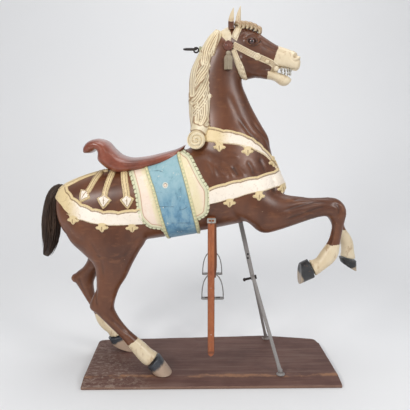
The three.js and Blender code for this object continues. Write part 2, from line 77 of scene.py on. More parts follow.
class Finish:
    """A material. Colours are linear."""

    def __init__(self, name, **fixed):
        self.material = bpy.data.materials.new(name)
        self.material.use_nodes = True
        self.tree = self.material.node_tree
        self.shader = self.tree.nodes["Principled BSDF"]
        for name, value in fixed.items():
            self.shader.inputs[name.replace("_", " ")].default_value = value

    def node(self, kind, settings=None, inputs=None, output=0):
        made = self.tree.nodes.new("ShaderNode" + kind)
        for key, value in (settings or {}).items():
            setattr(made, key, value)
        for key, value in (inputs or {}).items():
            self.fill(made.inputs[key], value)
        return Shade(self, made.outputs[output])

    def fill(self, socket, value):
        if isinstance(value, Shade):
            self.tree.links.new(value.socket, socket)
        elif isinstance(value, tuple) and len(value) == 3 and socket.type == "RGBA":
            socket.default_value = (*value, 1)
        else:
            socket.default_value = value

    def sum(self, operation, a, b):
        return self.node("Math", {"operation": operation}, {0: a, 1: b})

    def stored(self, name):
        return self.node("Attribute", {"attribute_name": name}, output=2)

    def place(self, stretch=(1, 1, 1), turn=(0, 0, 0)):
        at = self.node("TexCoord", output=3)
        return self.node("Mapping", None, {"Vector": at, "Scale": stretch, "Rotation": turn})

    def noise(self, scale, detail=3.0, rough=0.55, stretch=(1, 1, 1), turn=(0, 0, 0), warp=0.0):
        inputs = {"Vector": self.place(stretch, turn), "Scale": scale, "Detail": detail}
        return self.node("TexNoise", None, {**inputs, "Roughness": rough, "Distortion": warp})

    def cracks(self, scale, stretch=(1, 1, 1)):
        settings = {"feature": "DISTANCE_TO_EDGE"}
        return self.node("TexVoronoi", settings, {"Vector": self.place(stretch), "Scale": scale})

    def specks(self, scale, stretch=(1, 1, 1)):
        return self.node("TexVoronoi", None, {"Vector": self.place(stretch), "Scale": scale})

    def mix(self, share, a, b):
        return self.node("Mix", {"data_type": "RGBA"}, {0: share, 6: a, 7: b}, output=2)

    def bump(self, height, distance, strength=1.0):
        return self.node("Bump", None, {"Strength": strength, "Distance": distance * MM, "Height": height})

    def wear(self, colour, rough, normal=None, **more):
        """Feeds the shader, and gives the finish back."""
        fed = {"Base Color": colour, "Roughness": rough, **more}
        if normal:
            fed["Normal"] = normal
        for name, value in fed.items():
            self.fill(self.shader.inputs[name], value)
        return self


def brown_coat():
    f = Finish("brown_coat", Coat_Weight=0.22, Coat_Roughness=0.25)
    broad = f.noise(7, 4, 0.6, (1, 1, 0.5))
    brush = f.noise(60, 4, 0.6, (0.35, 1, 1), (0, 0.7, 0))
    hollow = f.stored("hollow")
    brown = f.mix(broad.above(0.5, 0.22), (0.075, 0.022, 0.008), (0.17, 0.055, 0.019))
    brown = f.mix(brush.above(0.62, 0.1) * 0.35, brown, (0.26, 0.10, 0.038))
    # Painted shade: the brown turns near black in the hollows of the carving. Painted highlight: it turns
    # lighter brown on the ridges.
    brown = f.mix(hollow.above(0.25, 0.3) * 0.7, brown, (0.025, 0.011, 0.006))
    brown = f.mix(hollow.below(-0.45, 0.3) * 0.4, brown, (0.30, 0.13, 0.055))
    chips = f.noise(130, 3, 0.7).above(0.72, 0.012) * f.noise(9, 2).above(0.52, 0.08)
    brown = f.mix(chips * 0.8, brown, (0.42, 0.28, 0.17))
    cream = f.mix(broad.above(0.5, 0.2), (0.66, 0.52, 0.33), (0.80, 0.69, 0.50))
    cream = f.mix(f.noise(45, 5, 0.7, (1, 1, 0.4)).above(0.60, 0.07) * 0.6, cream, (0.40, 0.24, 0.12))
    ragged = f.stored("sock") + (f.noise(70, 3) - 0.5) * 14
    # Painted shade: the cream of the socks and muzzle darkens in the hollows.
    cream = f.mix(hollow.above(0.3, 0.3) * 0.5, cream, (0.30, 0.17, 0.08))
    colour = f.mix(ragged.above(0, 1.6), brown, cream)
    grain = f.noise(35, 4, 0.6, (1, 1, 0.25))
    relief = brush * 0.5 + grain - chips * 0.6
    return f.wear(colour, 0.30 + grain * 0.22 + chips * 0.3, f.bump(relief, 0.7, 0.5))


def cream_paint(name, light, deep, glaze_and_shade, rough=0.42, yellow=0.25, shade_from=0.22, gilt=None):
    """Old cream paint, with painted shade in its hollows. Where gilt is given, the stored gold turns it
    yellower.
    """
    f = Finish(name, Coat_Weight=0.12, Coat_Roughness=0.3)
    hollow = f.stored("hollow")
    broad = f.noise(12, 4, 0.6)
    fine = f.noise(110, 4, 0.65)
    colour = f.mix(broad.above(0.5, 0.2), light, deep)
    if gilt:
        ragged = f.stored("gold") + (fine - 0.5) * 0.35
        colour = f.mix(ragged.above(0.5, 0.28), colour, gilt)
    colour = f.mix(fine.above(0.62, 0.06) * yellow, colour, glaze_and_shade)
    # Painted shade: the deeper hollows turn to the dark brown that is also used for the fine specks.
    colour = f.mix(hollow.above(shade_from, 0.25) * 0.85, colour, glaze_and_shade)
    chips = fine.above(0.72, 0.012) * f.noise(16, 2).above(0.5, 0.1)
    colour = f.mix(chips * 0.9, colour, (0.20, 0.075, 0.03))
    crack = f.cracks(85, (1, 1, 0.5)).below(0.012, 0.01) * f.noise(14, 2).above(0.55, 0.08)
    colour = f.mix(crack * 0.4, colour, (0.22, 0.12, 0.06))
    return f.wear(colour, rough + fine * 0.15, f.bump(fine * 0.6 - chips - crack, 0.5, 0.5))


def saddle_paint():
    f = Finish("saddle_paint", Coat_Weight=0.5, Coat_Roughness=0.15)
    hollow = f.stored("hollow")
    broad = f.noise(11, 4, 0.6)
    fine = f.noise(150, 4, 0.65, (0.4, 1, 1))
    colour = f.mix(broad.above(0.5, 0.25), (0.13, 0.028, 0.012), (0.29, 0.070, 0.034))
    colour = f.mix(fine.above(0.58, 0.08) * 0.3, colour, (0.34, 0.13, 0.075))
    # Painted shade: the saddle turns near black in its hollows. Painted highlight: it turns lighter on its
    # ridges and rolled edges.
    colour = f.mix(hollow.above(0.2, 0.3) * 0.9, colour, (0.018, 0.008, 0.005))
    colour = f.mix(hollow.below(-0.35, 0.25) * 0.45, colour, (0.42, 0.19, 0.12))
    chips = f.noise(120, 3, 0.7).above(0.70, 0.012)
    colour = f.mix(chips * 0.7, colour, (0.50, 0.36, 0.24))
    return f.wear(colour, 0.26 + fine * 0.2, f.bump(fine * 0.7 - chips, 0.5, 0.5))


def cloth_paint():
    """Small green-cream scallops, a cream band and a tan line round a pale pink field."""
    f = Finish("cloth_paint", Coat_Weight=0.12, Coat_Roughness=0.3)
    edge = f.stored("edge") + (f.noise(60, 2) - 0.5) * 1.6
    beads = f.stored("beads") + (f.noise(130, 3) - 0.5) * 0.5
    broad = f.noise(10, 4, 0.6)
    fine = f.noise(95, 4, 0.65)
    field = f.mix(broad.above(0.5, 0.2), (0.88, 0.72, 0.60), (0.84, 0.68, 0.53))
    field = f.mix(f.stored("warm").above(0.5, 0.45), field, (0.80, 0.70, 0.46))
    field = f.mix(fine.above(0.62, 0.07) * 0.30, field, (0.62, 0.42, 0.28))
    field = f.mix(f.noise(28, 5, 0.7).above(0.60, 0.06) * 0.35, field, (0.92, 0.85, 0.76))
    bead = f.mix(beads.above(0.55, 0.25), (0.22, 0.22, 0.12), (0.70, 0.69, 0.47))
    band = f.mix(broad.above(0.5, 0.1) * 0.6, (0.72, 0.68, 0.47), (0.56, 0.56, 0.38))
    colour = f.mix(edge.above(8.5, 0.9), bead, (0.42, 0.42, 0.26))
    colour = f.mix(edge.above(10.5, 0.9), colour, band)
    colour = f.mix(edge.above(19.5, 0.9), colour, (0.55, 0.30, 0.20))
    colour = f.mix(edge.above(22.0, 1.4), colour, field)
    # Painted shade in the hollows of the cloth.
    colour = f.mix(f.stored("hollow").above(0.35, 0.3) * 0.6, colour, (0.22, 0.13, 0.07))
    chips = fine.above(0.73, 0.012)
    colour = f.mix(chips * 0.8, colour, (0.30, 0.15, 0.08))
    return f.wear(colour, 0.42 + fine * 0.15, f.bump(fine * 0.5 - chips, 0.5, 0.5))


def girth_paint():
    f = Finish("girth_paint", Coat_Weight=0.12, Coat_Roughness=0.3)
    edge = f.stored("edge")
    dashes = f.stored("beads")
    height = f.stored("height")
    fine = f.noise(100, 4, 0.65)
    worn = f.noise(38, 6, 0.72, (1, 1, 0.45))
    # Painted shade: the blue is darker and deeper towards the bottom, where the girth turns under the belly.
    blue = f.mix(height.above(740, 110), (0.115, 0.27, 0.41), (0.26, 0.44, 0.485))
    blue = f.mix(worn.above(0.52, 0.1) * 0.55, blue, (0.34, 0.50, 0.55))
    blue = f.mix(worn.below(0.40, 0.05) * 0.6, blue, (0.075, 0.17, 0.24))
    flakes = f.noise(58, 5, 0.75, (1, 1, 0.6)).above(0.645, 0.02)
    blue = f.mix(flakes * 0.85, blue, (0.66, 0.66, 0.58))
    scuffs = f.noise(24, 5, 0.8, (0.5, 1, 1.6)).above(0.69, 0.015)
    blue = f.mix(scuffs * 0.8, blue, (0.16, 0.075, 0.035))
    piping = f.mix(dashes.above(0.5, 0.15) * 0.5, (0.70, 0.64, 0.38), (0.30, 0.36, 0.20))
    ragged = edge + (fine - 0.5) * 3.5
    colour = f.mix(ragged.above(11, 0.9), piping, (0.26, 0.27, 0.14))
    colour = f.mix(ragged.above(13.5, 1.0), colour, blue)
    seams = f.stored("seams") + (f.noise(50, 4, 0.7) - 0.5) * 5
    colour = f.mix(seams.below(1.0, 0.8) * 0.7, colour, (0.05, 0.09, 0.12))
    hole = f.stored("hole") + (f.noise(90, 4, 0.7) - 0.5) * 7
    colour = f.mix(hole.below(10.5, 1.2) * 0.9, colour, (0.74, 0.72, 0.62))
    # Painted shade: the middle of the shallow hole is painted near black, inside its pale ring.
    colour = f.mix(hole.below(6.5, 0.8), colour, (0.075, 0.03, 0.018))
    # Painted shade in the hollows of the girth.
    colour = f.mix(f.stored("hollow").above(0.3, 0.3) * 0.5, colour, (0.10, 0.09, 0.06))
    return f.wear(colour, 0.42 + fine * 0.2, f.bump(fine * 0.4 - flakes * 0.5 - scuffs, 0.6, 0.5))


def hoof_paint(name, dark, worn, share):
    f = Finish(name, Coat_Weight=0.35, Coat_Roughness=0.2)
    low = f.stored("low")
    fine = f.noise(90, 5, 0.7)
    bare = low + (f.noise(30, 5, 0.75) - 0.5) * 0.34
    colour = f.mix(bare.above(share, 0.09), dark, worn)
    colour = f.mix(fine.above(0.66, 0.04) * 0.4, colour, (0.30, 0.25, 0.19))
    chips = f.noise(55, 4, 0.7).above(0.66, 0.02)
    colour = f.mix(chips * 0.7, colour, (0.12, 0.055, 0.03))
    return f.wear(colour, 0.42 + fine * 0.25, f.bump(fine - chips, 0.8, 0.6))


def glass_eye():
    f = Finish("glass_eye", Coat_Weight=1.0, Coat_Roughness=0.02)
    spot = f.stored("pupil") + (f.noise(300, 3) - 0.5) * 1.2
    colour = f.mix(spot.above(5.2, 0.4), (0.003, 0.002, 0.002), (0.085, 0.016, 0.007))
    colour = f.mix(spot.above(9.0, 1.2), colour, (0.012, 0.005, 0.004))
    return f.wear(colour, 0.06 + f.noise(40) * 0.04)


def plain_paint(name, light, dark, scale=40, rough=0.5, metal=0.0, coat=0.0, bump=0.5, stretch=(1, 1, 1)):
    """Two tones broken up by noise, with painted shade in the hollows."""
    f = Finish(name, Metallic=metal, Coat_Weight=coat)
    broad = f.noise(scale, 5, 0.65, stretch)
    fine = f.noise(scale * 6, 4, 0.65, stretch)
    colour = f.mix(broad.above(0.5, 0.14), light, dark)
    colour = f.mix(fine.above(0.58, 0.1) * 0.35, colour, dark)
    # Painted shade in the hollows.
    colour = f.mix(f.stored("hollow").above(0.25, 0.3) * 0.6, colour, tuple(v * 0.4 for v in dark))
    return f.wear(colour, rough + fine * 0.2, f.bump(fine + broad, bump, 0.5))


def strap_leather():
    f = Finish("strap_leather")
    broad = f.noise(16, 4, 0.6, (1, 1, 0.6))
    fine = f.noise(190, 4, 0.7, (1, 1, 0.35))
    grain = f.specks(900)
    worn = f.stored("edge")
    colour = f.mix(broad.above(0.5, 0.22), (0.38, 0.115, 0.036), (0.28, 0.074, 0.026))
    colour = f.mix(fine.above(0.56, 0.09) * 0.5, colour, (0.42, 0.16, 0.075))
    colour = f.mix(f.noise(60, 5, 0.75, (1, 1, 0.3)).above(0.64, 0.03) * 0.5, colour, (0.12, 0.035, 0.015))
    colour = f.mix(worn.below(1.6, 0.9) * 0.6, colour, (0.10, 0.035, 0.018))
    return f.wear(colour, 0.46 + fine * 0.25, f.bump(fine * 0.8 + grain * 0.3, 0.4, 0.5))


def iron_paint(name, paint, rust, share=0.6, rough=0.5, metal=0.0):
    """Painted or bare iron with rust breaking through."""
    f = Finish(name, Metallic=metal)
    broad = f.noise(24, 5, 0.7)
    fine = f.noise(160, 5, 0.7)
    colour = f.mix(fine.above(0.5, 0.25) * 0.4, paint, tuple(v * 0.55 for v in paint))
    rusty = (broad * 0.6 + fine * 0.4).above(share, 0.04)
    colour = f.mix(rusty * 0.85, colour, rust)
    colour = f.mix(f.stored("hollow").above(0.25, 0.3) * 0.7, colour, tuple(v * 0.35 for v in rust))
    return f.wear(colour, rough + rusty * 0.3 + fine * 0.1, f.bump(fine + rusty * 0.8, 0.4, 0.6))


def board_wood():
    """Dark red-brown paint worn along the front bevel and at the left corner."""
    f = Finish("board_wood")
    grain = f.noise(60, 6, 0.7, (0.06, 1, 1))
    broad = f.noise(5, 5, 0.65)
    fine = f.noise(120, 5, 0.75, (0.3, 1, 1))
    bevel = f.stored("bevel") + (f.noise(26, 4, 0.7) - 0.5) * 34
    left = f.stored("left") + (f.noise(9, 5, 0.7) - 0.5) * 260
    colour = f.mix(broad.above(0.5, 0.2), (0.095, 0.040, 0.030), (0.140, 0.068, 0.052))
    colour = f.mix(grain.above(0.55, 0.08) * 0.45, colour, (0.075, 0.032, 0.025))
    colour = f.mix(grain.below(0.42, 0.06) * 0.35, colour, (0.215, 0.135, 0.105))
    streak = bevel.below(9, 6) * f.noise(14, 5, 0.75, (0.35, 1, 1)).above(0.50, 0.06)
    colour = f.mix(streak * 0.75, colour, (0.34, 0.17, 0.085))
    speck = f.noise(75, 5, 0.8, (0.6, 1, 1)).above(0.54, 0.03) * left.above(0, 90)
    colour = f.mix(speck * 0.6, colour, (0.33, 0.25, 0.20))
    scratch = f.noise(30, 6, 0.8, (0.05, 1, 1), (0, 0, 0.06)).above(0.68, 0.015)
    colour = f.mix(scratch * 0.55, colour, (0.30, 0.20, 0.16))
    worn = f.stored("edge") + (fine - 0.5) * 7
    colour = f.mix(worn.below(1.2, 1.6) * 0.5, colour, (0.30, 0.18, 0.12))
    pits = fine.above(0.70, 0.02)
    colour = f.mix(pits * 0.6, colour, (0.035, 0.018, 0.013))
    relief = grain * 0.8 + fine * 0.4 - pits - scratch * 0.5
    return f.wear(colour, 0.55 + grain * 0.25, f.bump(relief, 0.6, 0.6))


def horsehair():
    f = Finish("horsehair")
    fine = f.noise(260, 4, 0.6, (1, 1, 0.05))
    broad = f.noise(30, 4, 0.6, (1, 1, 0.3))
    colour = f.mix(fine.above(0.5, 0.2), (0.018, 0.009, 0.005), (0.060, 0.030, 0.016))
    colour = f.mix(broad.above(0.6, 0.1) * 0.6, colour, (0.115, 0.065, 0.038))
    return f.wear(colour, 0.38 + fine * 0.2, f.bump(fine, 0.4, 0.4))


def bridle_paint():
    return cream_paint("bridle_paint", (0.80, 0.70, 0.52), (0.66, 0.53, 0.34), (0.33, 0.20, 0.10))


# ---------------------------------------------------------------- skins
class Skin:
    """Points in millimetres and four-sided faces."""

    def __init__(self, points, faces):
        self.points = np.asarray(points, float)
        self.faces = np.asarray(faces, int)
        pairs = np.vstack([self.faces[:, [k, (k + 1) % 4]] for k in range(4)])
        pairs = pairs[pairs[:, 0] != pairs[:, 1]]
        self.ends = np.concatenate([pairs[:, 0], pairs[:, 1]])
        self.others = np.concatenate([pairs[:, 1], pairs[:, 0]])
        self.degree = np.maximum(np.bincount(self.ends, minlength=len(self.points)), 1)

    def around(self, values):
        """The mean of each point's neighbours."""
        if values.ndim == 1:
            return np.bincount(self.ends, values[self.others], len(self.points)) / self.degree
        return np.stack([self.around(column) for column in values.T], 1)

    def smooth(self, times, share=0.5):
        for _ in range(times):
            self.points = self.points + (self.around(self.points) - self.points) * np.reshape(share, (-1, 1))

    def blurred(self, values, times):
        for _ in range(times):
            values = (values + self.around(values)) / 2
        return values

    def normals(self):
        a, b, c, d = (self.points[self.faces[:, k]] for k in range(4))
        across = np.cross(c - a, d - b)
        total = np.zeros_like(self.points)
        for k in range(4):
            for axis in range(3):
                total[:, axis] += np.bincount(self.faces[:, k], across[:, axis], len(self.points))
        return total / np.maximum(np.linalg.norm(total, axis=1, keepdims=True), 1e-9)

    def hollows(self, times=3, gain=1.0):
        """Above 0 in hollows and below 0 on ridges."""
        inward = ((self.around(self.points) - self.points) * self.normals()).sum(1)
        return np.clip(self.blurred(inward, times) * gain, -1, 1)

    def push(self, heights):
        self.points = self.points + self.normals() * np.reshape(heights, (-1, 1))


def joined(*skins):
    points, faces, count = [], [], 0
    for skin in skins:
        points.append(skin.points)
        faces.append(skin.faces + count)
        count += len(skin.points)
    return Skin(np.vstack(points), np.vstack(faces))


def row_at(rows, at):
    """Catmull-Rom value between rows of numbers."""
    i = min(int(at), len(rows) - 2)
    t = at - i
    a, b, c, d = (np.asarray(rows[min(max(i + k, 0), len(rows) - 1)], float) for k in (-1, 0, 1, 2))
    return 0.5 * (2 * b + (c - a) * t + (2 * a - 5 * b + 4 * c - d) * t * t + (3 * b - a - 3 * c + d) * t**3)


def line(points, count):
    """A smooth line through points, as count + 1 points."""
    return np.array([row_at(points, i * (len(points) - 1) / count) for i in range(count + 1)])


def tube(rings, closed_ends=True):
    """A skin over rings of points, capped by quads that fold over the middle."""
    rings = np.asarray(rings, float)
    rows, sides, _ = rings.shape
    at = np.arange(rows * sides).reshape(rows, sides)
    beside = np.roll(at, -1, 1)
    faces = np.stack([at[:-1], beside[:-1], beside[1:], at[1:]], -1).reshape(-1, 4)
    points = rings.reshape(-1, 3)
    if closed_ends:
        caps = [rings[0].mean(0), rings[-1].mean(0)]
        points = np.vstack([points, caps])
        step = np.arange(0, sides, 2)
        for row, flip, middle in ((0, 1, len(points) - 2), (rows - 1, 0, len(points) - 1)):
            a, b, c = (row * sides + (step + k) % sides for k in range(3))
            m = np.full_like(a, middle)
            faces = np.vstack([faces, np.stack([c, b, a, m] if flip else [a, b, c, m], 1)])
    return Skin(points, faces)


def full(section):
    """A section row with its taper written out."""
    return list(section) + [0] * (7 - len(section))


def sweep_rings(sections, rows, sides, square=1.0, grow=0.0):
    rings = []
    angle = np.linspace(0, 2 * math.pi, sides, endpoint=False)
    along = np.sign(np.cos(angle)) * np.abs(np.cos(angle)) ** square
    across = np.sign(np.sin(angle)) * np.abs(np.sin(angle)) ** square
    sections = [full(section) for section in sections]
    for k in range(rows):
        ax, az, bx, bz, y, half, taper = row_at(sections, k * (len(sections) - 1) / (rows - 1))
        reach = math.hypot(ax - bx, az - bz) / 2
        swell = (reach + grow) / max(reach, 0.5)
        x = (ax + bx) / 2 + (ax - bx) / 2 * along * swell
        z = (az + bz) / 2 + (az - bz) / 2 * along * swell
        rings.append(np.stack([x, y + (half + grow) * across * (1 + taper * along), z], 1))
    return np.array(rings)


def sweep(sections, rows, sides, square=1.0, grow=0.0):
    return tube(sweep_rings(sections, rows, sides, square, grow))


def melted(skin, voxel):
    """One closed skin over everything in it, as even quads."""
    mesh = bpy.data.meshes.new("melting")
    mesh.from_pydata((skin.points * MM).tolist(), [], [unfold(f) for f in skin.faces.tolist()])
    block = bpy.data.objects.new("melting", mesh)
    bpy.context.scene.collection.objects.link(block)
    remesh = block.modifiers.new("melt", "REMESH")
    remesh.mode = "VOXEL"
    remesh.voxel_size = voxel * MM
    made = block.evaluated_get(bpy.context.evaluated_depsgraph_get()).to_mesh()
    points = np.empty(len(made.vertices) * 3)
    made.vertices.foreach_get("co", points)
    faces = np.array([p.vertices[:] for p in made.polygons if len(p.vertices) == 4])
    bpy.data.objects.remove(block)
    bpy.data.meshes.remove(mesh)
    return Skin(points.reshape(-1, 3) / MM, faces)


def unfold(face):
    """A face without a repeated corner."""
    return list(dict.fromkeys(face))


def piece(name, skin, finish, node, slot, smooth=True, **stored):
    """Makes a piece that rides on the frame in place of one of its solids."""
    mesh = bpy.data.meshes.new(name)
    faces = [unfold(f) for f in skin.faces.tolist()]
    mesh.from_pydata((skin.points * MM).tolist(), [], [f for f in faces if len(f) > 2])
    mesh.validate()
    for key, values in {"hollow": skin.hollows(2, 1.2), **stored}.items():
        layer = mesh.attributes.new(key, "FLOAT", "POINT")
        layer.data.foreach_set("value", np.asarray(values, float))
    if smooth:
        mesh.shade_smooth()
    mesh.materials.append(finish.material)
    made = bpy.data.objects.new(name, mesh)
    bpy.context.scene.collection.objects.link(made)
    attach(made, "root")
    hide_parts(node)
    return made


def carved(name, skin, finish, **stored):
    """A piece that is carved in one with the horse."""
    return piece(name, skin, finish, "horse", "carved_wood", **stored)


def on_head(name, skin, finish, node="horse", slot="carved_wood", **stored):
    """Turns a skin with the head and makes it a piece."""
    skin.points = turned(skin.points)
    return piece(name, skin, finish, node, slot, **stored)


def which(side):
    return "right" if side < 0 else "left"


# ---------------------------------------------------------------- flat measures in the side view
def ease(values, low, high):
    t = np.clip((values - low) / (high - low), 0, 1)
    return t * t * (3 - 2 * t)


def ridge(values, at, width):
    """A smooth hill of height 1 where the values pass through at."""
    return np.exp(-(((values - at) / width) ** 2))


def near_line(x, z, points):
    """Distance from a polyline, and how far along it the nearest point is."""
    points = np.asarray(points, float)
    best = np.full(np.shape(x), 1e9)
    along = np.zeros(np.shape(x))
    start = 0.0
    for (ax, az), (bx, bz) in zip(points[:-1, :2], points[1:, :2]):
        length = math.hypot(bx - ax, bz - az)
        ux, uz = (bx - ax) / length, (bz - az) / length
        t = np.clip((x - ax) * ux + (z - az) * uz, 0, length)
        away = np.hypot(x - ax - t * ux, z - az - t * uz)
        closer = away < best
        best = np.where(closer, away, best)
        along = np.where(closer, start + t, along)
        start += length
    return best, along


def inside(x, z, outline):
    """Distance from an outline, above 0 inside it."""
    outline = np.asarray(outline, float)[:, :2]
    closed = np.vstack([outline, outline[:1]])
    within = np.zeros(np.shape(x), bool)
    for (ax, az), (bx, bz) in zip(closed[:-1], closed[1:]):
        crosses = (az > z) != (bz > z)
        at = ax + (z - az) * (bx - ax) / (bz - az if bz != az else 1e-9)
        within ^= crosses & (x < at)
    away = near_line(x, z, closed)[0]
    return np.where(within, away, -away)


def past(x, z, a, b):
    """Distance to the right of the line from a to b."""
    (ax, az), (bx, bz) = a, b
    length = math.hypot(bx - ax, bz - az)
    return ((x - ax) * (bz - az) - (z - az) * (bx - ax)) / length


# ---------------------------------------------------------------- the horse's sections
# Each row: x, z of one end of an oval, x, z of its other end, y of its middle, half width, taper.
trunk = [
    [-604, 715, -604, 655, 0, 45],
    [-592, 748, -592, 610, 0, 80],
    [-565, 766, -565, 565, 0, 108],
    [-505, 792, -505, 540, 0, 128],
    [-430, 814, -430, 532, 0, 138],
    [-265, 850, -265, 546, 0, 142, -0.04],
    [-90, 904, -90, 574, 0, 151, -0.1],
    [0, 925, 0, 590, 0, 152, -0.12],
    [150, 890, 150, 622, 0, 134, -0.14],
    [215, 858, 215, 650, 0, 112, -0.1],
    [262, 815, 262, 690, 0, 84],
    [290, 770, 290, 725, 0, 45],
]
neck = [
    [297, 735, -60, 760, 0, 122],
    [285, 780, -78, 850, 0, 118],
    [256, 842, -72, 915, 0, 104, -0.1],
    [239, 885, -64, 965, 0, 90, -0.12],
    [228, 945, -60, 1015, 0, 77, -0.08],
    [197, 997, -60, 1070, 0, 66],
    [160, 1062, -60, 1130, 0, 59],
    [133, 1120, -56, 1195, 0, 56],
    [119, 1156, -40, 1250, 0, 55],
    [122, 1215, -8, 1308, 0, 54],
    [128, 1262, 30, 1340, 0, 46],
]
skull = [
    [34, 1338, 84, 1222, 0, 34],
    [56, 1353, 104, 1188, 0, 45, -0.05],
    [90, 1363, 128, 1169, 0, 51],
    [130, 1357, 160, 1172, 0, 53, 0.05],
    [172, 1341, 192, 1180, 0, 47, 0.1],
    [213, 1314, 222, 1190, 0, 40, 0.05],
    [250, 1292, 250, 1204, 0, 35],
    [285, 1280, 277, 1208, 0, 34, -0.1],
    [313, 1268, 303, 1202, 0, 35, -0.12],
    [331, 1250, 322, 1198, 0, 31, -0.1],
    [338, 1230, 334, 1206, 0, 19],
]
jaw = [
    [150, 1235, 150, 1178, 0, 38],
    [205, 1216, 205, 1169, 0, 34],
    [240, 1199, 240, 1162, 0, 30],
    [266, 1190, 264, 1145, 0, 28],
    [291, 1180, 286, 1143, 0, 25],
    [307, 1167, 301, 1154, 0, 14],
]
hind_right = [
    [-300, 735, -530, 735, -48, 78],
    [-252, 640, -578, 648, -64, 84],
    [-252, 560, -550, 562, -74, 80],
    [-278, 515, -500, 512, -82, 68],
    [-305, 466, -456, 466, -90, 55],
    [-331, 412, -446, 414, -96, 46],
    [-358, 369, -449, 366, -100, 39],
    [-379, 302, -476, 300, -102, 34],
    [-368, 266, -449, 272, -104, 30],
    [-347, 231, -404, 224, -105, 26],
    [-314, 193, -348, 164, -107, 23],
    [-262, 148, -304, 103, -109, 28],
    [-236, 122, -278, 72, -110, 31],
    [-211, 106, -256, 55, -110, 34],
]
hind_left = [
    [-300, 735, -530, 735, 48, 78],
    [-256, 640, -576, 645, 64, 84],
    [-285, 555, -552, 553, 74, 78],
    [-335, 505, -530, 493, 84, 66],
    [-392, 460, -515, 445, 92, 52],
    [-442, 415, -537, 402, 97, 42],
    [-474, 380, -566, 378, 100, 36],
    [-490, 348, -590, 350, 102, 33],
    [-498, 318, -572, 328, 103, 30],
    [-486, 240, -526, 246, 103, 23],
    [-464, 195, -502, 198, 104, 22],
    [-444, 163, -490, 158, 104, 25],
    [-420, 138, -467, 124, 105, 29],
    [-392, 118, -444, 106, 105, 30],
    [-368, 104, -438, 86, 105, 33],
]
fore_right = [
    [120, 815, 45, 690, -48, 78],
    [200, 782, 118, 634, -70, 72],
    [255, 742, 190, 586, -86, 58],
    [300, 734, 250, 594, -93, 48],
    [400, 725, 378, 637, -95, 36],
    [447, 728, 428, 650, -95, 34],
    [484, 720, 446, 650, -95, 35],
    [510, 696, 454, 636, -94, 34],
    [520, 664, 459, 620, -93, 32],
    [513, 632, 460, 602, -92, 28],
    [500, 560, 450, 552, -90, 24],
    [494, 502, 420, 504, -90, 29],
    [476, 470, 408, 484, -90, 30],
    [442, 441, 395, 477, -90, 30],
    [406, 413, 378, 478, -90, 35],
]
fore_left = [
    [120, 815, 45, 690, 48, 78],
    [200, 770, 118, 642, 70, 72],
    [260, 722, 195, 600, 84, 56],
    [320, 704, 270, 598, 91, 46],
    [385, 698, 350, 606, 93, 39],
    [455, 695, 425, 618, 94, 36],
    [510, 690, 476, 620, 94, 36],
    [548, 668, 492, 612, 93, 35],
    [564, 634, 502, 596, 92, 31],
    [563, 600, 512, 580, 91, 27],
    [566, 571, 520, 560, 90, 25],
    [600, 518, 548, 514, 90, 29],
    [612, 458, 556, 462, 90, 30],
    [619, 432, 551, 447, 90, 34],
]
# Each hoof: its coronet row and its sole row.
hooves = {
    "hoof_hind_right": [[-206, 102, -252, 50, -110, 38], [-156, 26, -216, 6, -110, 43]],
    "hoof_hind_left": [[-362, 100, -442, 82, 105, 37], [-324, 18, -428, 58, 105, 41]],
    "hoof_fore_right": [[403, 409, 374, 480, -90, 38], [342, 382, 346, 466, -90, 42]],
    "hoof_fore_left": [[620, 426, 548, 442, 90, 37], [623, 380, 556, 420, 90, 41]],
}
hoof_level = 26.3

# Long hollows and ridges of the carving: side (-1 right, 1 left, 0 both), line, width, height.
furrows = [
    (0, [(7, 856), (30, 834), (49, 814), (56, 796)], 6, 3.2),
    (0, [(-22, 876), (-3, 850), (10, 822), (16, 800)], 6, 2.8),
    (0, [(32, 866), (56, 845), (72, 818), (78, 800)], 5, 3.0),
    (0, [(48, 882), (74, 885), (104, 877)], 4, 2.6),
    (0, [(88, 850), (113, 824), (122, 804)], 7, 2.6),
    (0, [(20, 850), (40, 828), (56, 806)], 4, -2.8),
    (0, [(74, 848), (90, 824), (98, 806)], 6, -3.2),
    (0, [(130, 868), (150, 838), (158, 808)], 9, -4),
    (0, [(176, 876), (196, 846), (204, 815)], 8, -4),
    (0, [(100, 1030), (143, 968), (181, 936), (206, 896)], 9, -4.5),
    (0, [(148, 1020), (182, 975), (216, 939), (236, 890)], 6, -4),
    (0, [(60, 1120), (100, 1030), (120, 985)], 12, -2.4),
    (0, [(220, 815), (238, 770), (236, 730)], 10, -4),
    (0, [(-20, 640), (10, 700), (8, 745)], 14, -5),
    (0, [(60, 700), (110, 640), (190, 600)], 14, -5),
    (-1, [(250, 676), (292, 688), (345, 702), (403, 711), (459, 706)], 5, -4),
    (-1, [(260, 640), (293, 653), (345, 670), (402, 690), (449, 694)], 5, -4),
    (-1, [(294, 716), (339, 722), (405, 719)], 4, -2.4),
    (-1, [(452, 702), (474, 697), (480, 676), (470, 655)], 5, -3.6),
    (-1, [(478, 706), (494, 690), (497, 668)], 5, 3),
    (-1, [(466, 645), (464, 593), (456, 552), (440, 520)], 4, -4.2),
    (1, [(300, 690), (360, 672), (420, 672), (470, 664)], 6, -4),
    (1, [(548, 606), (546, 575), (548, 548)], 4, -3.5),
    (-1, [(-270, 600), (-300, 545), (-340, 490)], 12, -4),
    (-1, [(-470, 590), (-440, 540), (-415, 470), (-412, 400)], 10, -3.5),
    (-1, [(-470, 521), (-440, 512), (-409, 506), (-364, 505), (-310, 513)], 3, -2),
    (-1, [(-440, 384), (-446, 340), (-436, 300)], 6, -4.5),
    (-1, [(-386, 345), (-386, 319), (-398, 290)], 6, 3.5),
    (-1, [(-420, 296), (-409, 280), (-365, 234), (-318, 185)], 4, -4.5),
    (1, [(-545, 395), (-550, 355), (-538, 310), (-512, 245), (-490, 190)], 6, -4.5),
    (1, [(-575, 372), (-584, 352), (-572, 332)], 8, 4),
    (0, [(-570, 640), (-530, 590), (-470, 555)], 16, -4),
]


